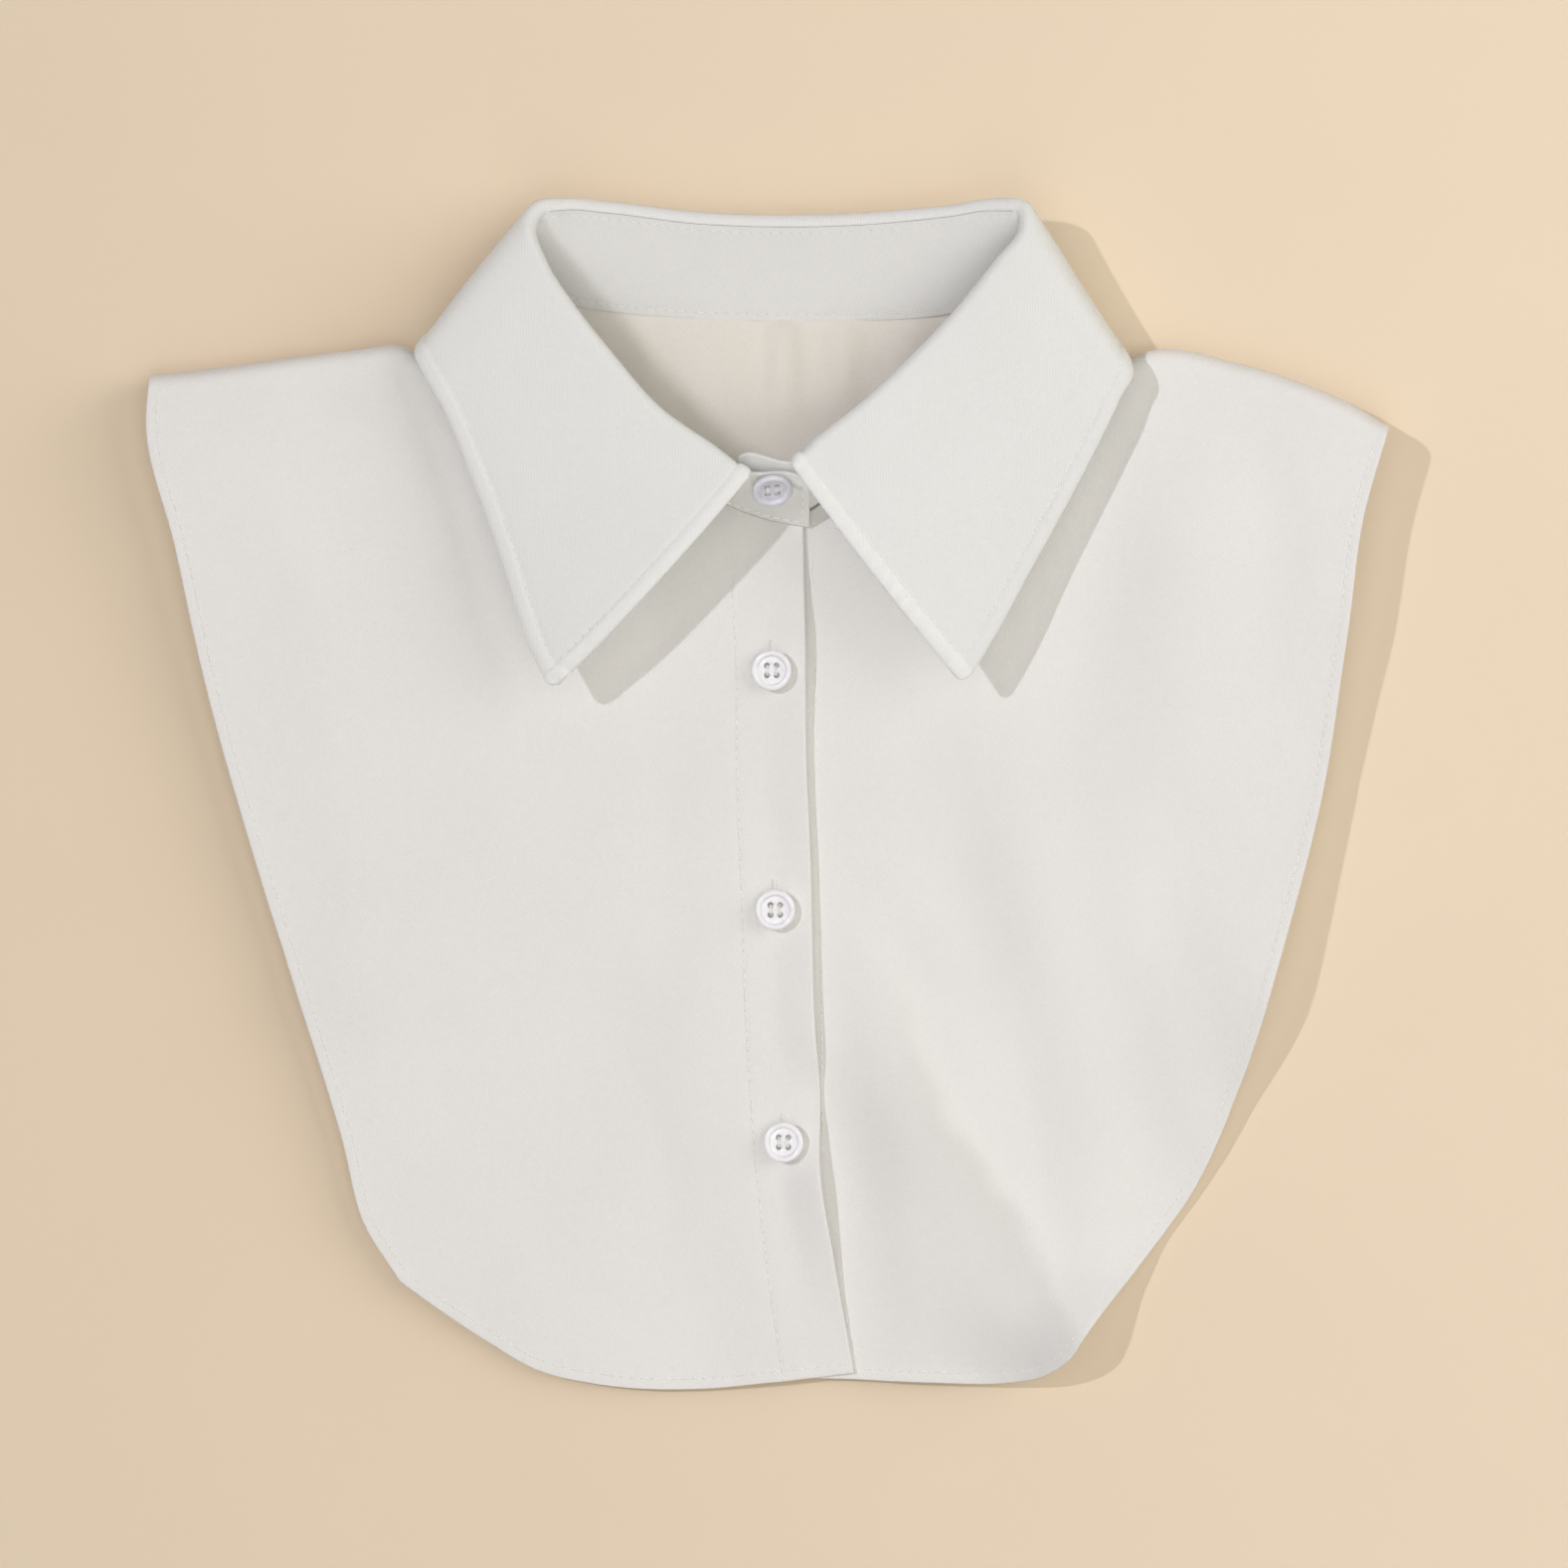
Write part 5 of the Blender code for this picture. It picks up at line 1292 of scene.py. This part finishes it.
def make_stand():
    """Make the stand: two cloths topstitched along the seam and round the buttoned end."""
    total = COLLAR_LENGTHS[-1] - COLLAR_LENGTHS[0]
    lines = (0.0, 0.1, 0.3, 0.7, 1.3, 2.2, 3.2, 4.4, 5.6, 7.0)
    places = COLLAR_LENGTHS[0] + total * fine_shares(total, lines, lines, 1.7)
    shares = fine_shares(28.0, (0.0, 0.1, 0.3, 0.7, 1.4, 2.0, 2.5, 3.0), (0.0, 0.1, 0.3, 0.7, 1.4), 1.8)
    grid = stand_surface(places, shares)
    normals = grid_normals(grid)
    seam_gap, seam_run = beside_line(grid, grid[:, 0])
    top_gap, top_run = beside_line(grid, grid[:, -1])
    first_gap, _ = beside_line(grid, grid[0])
    last_gap, _ = beside_line(grid, grid[-1])
    past_leaf = (places < COLLAR_KNOTS[0]) | (places > COLLAR_KNOTS[-1])
    free_top = np.where(past_leaf[:, None], top_gap, 9.0)
    edge = np.minimum(np.minimum(seam_gap, free_top), np.minimum(first_gap, last_gap))
    relief = stitch_relief(seam_gap - SEAM_STITCH, seam_run, 8.0, 0.12, 7.0)
    relief = relief + stitch_relief(top_gap - TOP_STITCH, top_run, 9.0, 0.08, 7.0)
    relief = relief - STAND_THINNING * (1.0 - smooth_step(seam_gap, 0.0, 3.0))
    low, high = STAND_LAYER
    half = (high - low) / 2
    share = rounding(edge, half)
    bottom = low + half - (half + relief * 0.6) * share
    crown = low + half + (half + relief) * share
    # Darker colour of the same cloth: painted shade of the stand
    cloth = cloth_material("stand_shaded_twill", STAND_SHADE_COLOUR, 20.0)
    piece = add_shell("collar_stand_cloth", grid, normals, bottom, crown, cloth)
    rows = []
    start, end = COLLAR_LENGTHS[0], COLLAR_LENGTHS[-1]
    for height in (SEAM_STITCH, -TOP_STITCH):
        line, facing = stand_row(start + 2.0, end - 2.0, height)
        rows.append((line + facing * (STAND_LAYER[1] - 0.12), facing))
    line, facing = stand_row(start + 2.0, COLLAR_KNOTS[2], SEAM_STITCH, 80)
    rows.append((line + facing * (STAND_LAYER[0] + 0.1), -facing))
    end_places = np.full(30, start + 1.9)
    heights = np.linspace(0.08, 0.72, 30)
    column = stand_surface(end_places, heights)[0]
    facing = np.repeat(normals[8:9, 4], 30, axis=0)
    rows.append((column + facing * (STAND_LAYER[0] + 0.02), -facing))
    sewn = add_stitches("stand_stitches", rows)
    return piece, sewn


def button_place(middle, outward, upward):
    """Give the matrix that seats a button at middle, facing outward."""
    outward = Vector(outward).normalized()
    across = Vector(upward).cross(outward).normalized()
    turned = Matrix((across, outward.cross(across), outward)).transposed().to_4x4()
    return Matrix.Translation(Vector(np.asarray(middle) + CENTRE_SHIFT) * METRES_PER_MM) @ turned


def turned_button():
    """Make the button's mesh: a turned dish with a raised rim and four holes."""
    steps = BUTTON_STEPS
    turn = np.linspace(0.0, 2 * math.pi, steps, endpoint=False)
    rings = []
    for radius, height in BUTTON_PROFILE[1:-1]:
        rings.append(np.stack((radius * np.cos(turn), radius * np.sin(turn), np.full(steps, height)), axis=1))
    points = np.concatenate(rings)
    faces = []
    for ring in range(len(rings) - 1):
        for step in range(steps):
            after = (step + 1) % steps
            near, far = ring * steps, (ring + 1) * steps
            faces.append((near + step, far + step, far + after, near + after))
    faces.append(tuple(range(steps)))
    last = (len(rings) - 1) * steps
    faces.append(tuple(range(last + steps - 1, last - 1, -1)))
    mesh = bpy.data.meshes.new("button_dish")
    mesh.from_pydata((points * METRES_PER_MM).tolist(), [], faces)
    return mesh


def hole_pins():
    """Make the four pins that cut a button's holes."""
    pins = bmesh.new()
    half = BUTTON_HOLE_SPACING / 2
    radius = BUTTON_HOLE_RADIUS * METRES_PER_MM
    for x in (-half, half):
        for y in (-half, half):
            spot = Matrix.Translation(Vector((x, y, 1.0)) * METRES_PER_MM)
            bmesh.ops.create_cone(pins, cap_ends=True, segments=BUTTON_HOLE_STEPS, radius1=radius,
                                  radius2=radius, depth=HOLE_PIN_LENGTH * METRES_PER_MM, matrix=spot)
    mesh = bpy.data.meshes.new("button_pins")
    pins.to_mesh(mesh)
    pins.free()
    return mesh


def drilled_button():
    """Cut the holes into the button once, and return the mesh that every button shares."""
    dish = bpy.data.objects.new("button_dish", turned_button())
    pins = bpy.data.objects.new("button_pins", hole_pins())
    for thing in (dish, pins):
        bpy.context.scene.collection.objects.link(thing)
    cut = dish.modifiers.new("holes", "BOOLEAN")
    cut.solver = "EXACT"
    cut.object = pins
    soften = dish.modifiers.new("soft_edges", "BEVEL")
    soften.width = 0.08 * METRES_PER_MM
    soften.segments = 2
    soften.limit_method = "ANGLE"
    soften.angle_limit = math.radians(50.0)
    graph = bpy.context.evaluated_depsgraph_get()
    mesh = bpy.data.meshes.new_from_object(dish.evaluated_get(graph))
    mesh.name = "drilled_button"
    for thing in (dish, pins):
        bpy.data.objects.remove(thing, do_unlink=True)
    mesh.polygons.foreach_set("use_smooth", [True] * len(mesh.polygons))
    mesh.set_sharp_from_angle(angle=math.radians(40.0))
    mesh.materials.clear()
    mesh.materials.append(RESIN)
    return mesh


def button_seat(x, y):
    """Give the middle and the upward normal of the placket's top under a button."""
    angles = np.linspace(0.0, 2 * math.pi, BUTTON_SEAT_STEPS, endpoint=False)
    ring = BUTTON_RADIUS * np.stack((np.cos(angles), np.sin(angles)), axis=1)
    heights = over_height(ring + (x, y))
    slope = 2 * np.mean(heights[:, None] * ring, axis=0) / BUTTON_RADIUS ** 2
    normal = unit((-slope[0], -slope[1], 1.0))
    highest = np.max(heights - ring @ slope)
    return np.array((x, y, highest)) + normal * PLACKET_WALL, normal


# The threads of a button: how far each bar's threads lie apart, and their radius
BAR_THREADS = (-0.33, -0.11, 0.11, 0.33)
BAR_THREAD_RADIUS = 0.15
BAR_HEIGHT = 1.55
BAR_REACH = 0.2
BAR_INSET = 0.22


def button_threads(place):
    """Give the points and faces of the thread bars that join each button's upper and lower holes."""
    half = BUTTON_HOLE_SPACING / 2
    middles = np.array([(side * (half - BAR_INSET) + offset, 0.0, BAR_HEIGHT)
                        for side in (-1, 1) for offset in BAR_THREADS])
    count = len(middles)
    tangents = np.tile((0.0, 1.0, 0.0), (count, 1))
    tangents[:, 0] = 0.16 * np.sin(np.arange(count) * 2.3)
    normals = np.tile((0.0, 0.0, 1.0), (count, 1))
    points, faces = stitch_mesh(middles, unit(tangents), normals, np.full(count, half + BAR_REACH), BAR_THREAD_RADIUS)
    matrix = np.array(place)
    return points * METRES_PER_MM @ matrix[:3, :3].T + matrix[:3, 3], faces


def make_button(name, place, mesh):
    """Place one button and sew it on with its thread bars."""
    button = bpy.data.objects.new(name + "_resin", mesh.copy())
    bpy.context.scene.collection.objects.link(button)
    button.data.transform(place)
    declare(button, name)
    points, faces = button_threads(place)
    threads = finish_mesh(name + "_thread", points, faces, THREAD)
    declare(threads, None)
    return button


def neck_button_frame():
    """Give the neck button's middle with the stand's outward and upward directions."""
    first = len(STAND_OUTER_END) + 1
    middles = (COLLAR_ROWS[:first, 0] + COLLAR_ROWS[:first, 3]) / 2
    place = np.interp(-NECK_BUTTON_X, -middles, COLLAR_LENGTHS[:first])
    fold, seam, upward, outward = roll_frame(np.array([place]))
    top = fold[0] - (ROLL_RADIUS + COLLAR_WALL + 0.7) * upward[0]
    middle = seam[0] + (top - seam[0]) * NECK_BUTTON_SHARE
    middle = middle + outward[0] * NECK_BUTTON_SHANK
    tilt = math.radians(NECK_BUTTON_TILT)
    facing = outward[0] * math.cos(tilt) + upward[0] * math.sin(tilt)
    rising = upward[0] * math.cos(tilt) - outward[0] * math.sin(tilt)
    return middle, facing, rising, place


# Buttonholes: how far each one reaches below and above its button, and the pitch of its close stitches
BUTTONHOLE_BELOW = 5.4
BUTTONHOLE_ABOVE = 8.3
BUTTONHOLE_PITCH = 0.42
BUTTONHOLE_SIDE = 0.62
BUTTONHOLE_STITCH = 1.1
BUTTONHOLE_RADIUS = 0.17


def close_stitches(line, facing, sideways):
    """Give close crosswise stitches on both sides of a slit that runs along a line."""
    total = chord_lengths(line)[-1]
    shares = np.linspace(0.0, 1.0, max(4, int(total / BUTTONHOLE_PITCH)))
    middle = along_line(line, shares)
    normal = unit(along_line(facing, shares))
    side = unit(along_line(sideways, shares))
    parts = []
    for sign in (-1.0, 1.0):
        parts.append((middle + side * sign * BUTTONHOLE_SIDE, side, normal))
    middles, tangents, normals = (np.concatenate(column) for column in zip(*parts))
    halves = np.full(len(middles), BUTTONHOLE_STITCH / 2)
    return stitch_mesh(middles, tangents, normals, halves, BUTTONHOLE_RADIUS)


def make_buttonholes(surface):
    """Sew the upright buttonholes of the placket and the level one of the stand."""
    all_points, all_faces = [], []
    for _, x, y in PLACKET_BUTTONS:
        ys = np.linspace(y - BUTTONHOLE_BELOW, y + BUTTONHOLE_ABOVE, 40)
        line, facing = surface_rows(surface, np.stack((np.full(40, x - 0.2), ys), axis=1), 0.03)
        sideways = np.tile((1.0, 0.0, 0.0), (40, 1))
        all_points.append(close_stitches(line, facing, sideways))
    _, outward, upward, place = neck_button_frame()
    places = np.linspace(place - 8.9, place + 4.5, 40)
    line = stand_surface(places, (NECK_BUTTON_SHARE,))[:, 0]
    facing = np.tile(outward, (40, 1))
    all_points.append(close_stitches(line - facing * 0.06, facing, np.tile(upward, (40, 1))))
    points = np.concatenate([part for part, _ in all_points])
    offset = 0
    for part, faces in all_points:
        all_faces += [[corner + offset for corner in face] for face in faces]
        offset += len(part)
    return finish_mesh("buttonhole_stitches", (points + CENTRE_SHIFT) * METRES_PER_MM, all_faces, THREAD)


back = declare(make_back(), "back_panel")
under, under_sewn = make_front_under()
over, over_sewn = make_front_over()
placket, placket_sewn, placket_top = make_placket()
stand, stand_sewn = make_stand()
leaf, leaf_sewn = make_leaf()
declare(under, "front_under")
declare(over, "front_over")
declare(placket, "placket")
declare(stand, "collar_stand")
declare(leaf, "collar_leaf")
buttonholes = make_buttonholes(placket_top)
for sewn in (under_sewn, over_sewn, placket_sewn, stand_sewn, leaf_sewn, buttonholes):
    declare(sewn, None)

DRILLED = drilled_button()
for label, button_x, button_y in PLACKET_BUTTONS:
    seat, normal = button_seat(button_x, button_y)
    make_button(label, button_place(seat + normal * BUTTON_SEAT, normal, (0.0, 1.0, 0.0)), DRILLED)
neck_middle, neck_facing, neck_rising, _ = neck_button_frame()
neck_button = make_button("button_neck", button_place(neck_middle, neck_facing, neck_rising), DRILLED)
# The neck button gets the darker resin: painted shade of the leaf over it
neck_button.data.materials[0] = NECK_RESIN_SHADE

floor_mesh = bpy.data.meshes.new("table_top")
reach = 2.5
floor_mesh.from_pydata([(-reach, -reach, 0.0), (reach, -reach, 0.0), (reach, reach, 0.0), (-reach, reach, 0.0)],
                       [], [(0, 1, 2, 3)])
floor_mesh.materials.append(table_material("table_paint", TABLE_COLOUR))
floor = bpy.data.objects.new("table_top", floor_mesh)
bpy.context.scene.collection.objects.link(floor)


# Light and camera

KEY_TRAVEL = (0.601, -0.2275, -0.766)
KEY_STRENGTH = 1.0
KEY_ANGLE = 1.6
SOFT_KEY_ANGLE = 13.0
KEY_COLOUR = (0.933, 0.916, 1.0)
FILL_COLOUR = (1.0, 0.967, 0.912)
LOW_COLOUR = (0.86, 0.92, 1.0)
WORLD_STRENGTH = 0.01

# Soft panels round the table, columns name, place in metres, size in metres and power
PANELS = (
    ("panel_right", (1.5, 0.4, 1.0), 1.5, 15.6),
    ("panel_back", (0.3, 1.5, 1.0), 1.5, 1.8),
    ("panel_front", (0.1, -0.9, 1.4), 1.2, 2.4),
    ("panel_low", (1.7, 0.6, 0.32), 1.2, 16.0),
)

# Flat fills that cast no shadow, columns name, direction of travel, strength and whether the light
# reaches everything (None), only the neck's inside (True) or all but that (False)
FLAT_FILLS = (
    ("flat_front", (0.0, 0.7, -0.7), 0.42, None),
    ("flat_down", (0.0, 0.0, -1.0), 0.5, None),
    ("flat_top", (0.0, 0.0, -1.0), 0.45, False),
    ("flat_rake", (0.8, -0.3, -0.5), 0.09, None),
    ("flat_neck", (0.0, 0.7, -0.7), 0.68, True),
    ("flat_inside", (-0.6, -0.16, -0.78), 0.78, True),
)
FLAT_ANGLE = 57.0
FRAME_WIDTH = 0.4384
FRAME_MIDDLE = (0.0044, 0.0030)
FRAME_HEIGHT = 0.010
CAMERA_HEIGHT = 2.4
SENSOR_WIDTH = 36.0


def add_light(name, kind, place, direction, power, colour):
    """Put a light in the scene, aimed along a direction, and return its settings."""
    light = bpy.data.lights.new(name, kind)
    light.energy = power
    light.color = colour
    lamp = bpy.data.objects.new(name, light)
    bpy.context.scene.collection.objects.link(lamp)
    lamp.location = place
    lamp.rotation_euler = Vector(direction).to_track_quat("-Z", "Y").to_euler()
    return light


def light_only(lamp_name, pieces, kept):
    """Let a light reach only these pieces, or every piece but these."""
    group = bpy.data.collections.new(lamp_name + "_reach")
    bpy.data.objects[lamp_name].light_linking.receiver_collection = group
    for piece in pieces:
        group.objects.link(piece)
    for item in group.collection_objects:
        item.light_linking.link_state = "INCLUDE" if kept else "EXCLUDE"


key = add_light("key", "SUN", (-0.8, 0.3, 1.0), KEY_TRAVEL, KEY_STRENGTH, KEY_COLOUR)
key.angle = math.radians(KEY_ANGLE)
soft_key = add_light("soft_key", "SUN", (-0.8, 0.3, 1.1), KEY_TRAVEL, KEY_STRENGTH, KEY_COLOUR)
soft_key.angle = math.radians(SOFT_KEY_ANGLE)
light_only("key", (back, stand, stand_sewn), False)
light_only("soft_key", (back, stand, stand_sewn), True)
for label, place, size, power in PANELS:
    panel = add_light(label, "AREA", place, -Vector(place), power, FILL_COLOUR)
    panel.size = size
bpy.data.lights["panel_low"].color = LOW_COLOUR
light_only("panel_low", (floor,), True)
light_only("panel_right", (back, stand, stand_sewn), False)
for label, travel, strength, inside_only in FLAT_FILLS:
    flat = add_light(label, "SUN", (0.0, 0.0, 2.0), travel, strength, FILL_COLOUR)
    flat.angle = math.radians(FLAT_ANGLE)
    flat.use_shadow = False
    if inside_only is not None:
        light_only(label, (back, stand, stand_sewn), inside_only)

world = bpy.data.worlds.new("studio")
world.use_nodes = True
world.node_tree.nodes["Background"].inputs["Color"].default_value = (*FILL_COLOUR, 1.0)
world.node_tree.nodes["Background"].inputs["Strength"].default_value = WORLD_STRENGTH
bpy.context.scene.world = world
bpy.context.scene.view_settings.view_transform = "Standard"

camera_data = bpy.data.cameras.new("camera")
camera_data.sensor_width = SENSOR_WIDTH
camera_data.lens = SENSOR_WIDTH * (CAMERA_HEIGHT - FRAME_HEIGHT) / FRAME_WIDTH
camera = bpy.data.objects.new("camera", camera_data)
bpy.context.scene.collection.objects.link(camera)
camera.location = (*FRAME_MIDDLE, CAMERA_HEIGHT)
bpy.context.scene.camera = camera

bpy.context.view_layer.update()
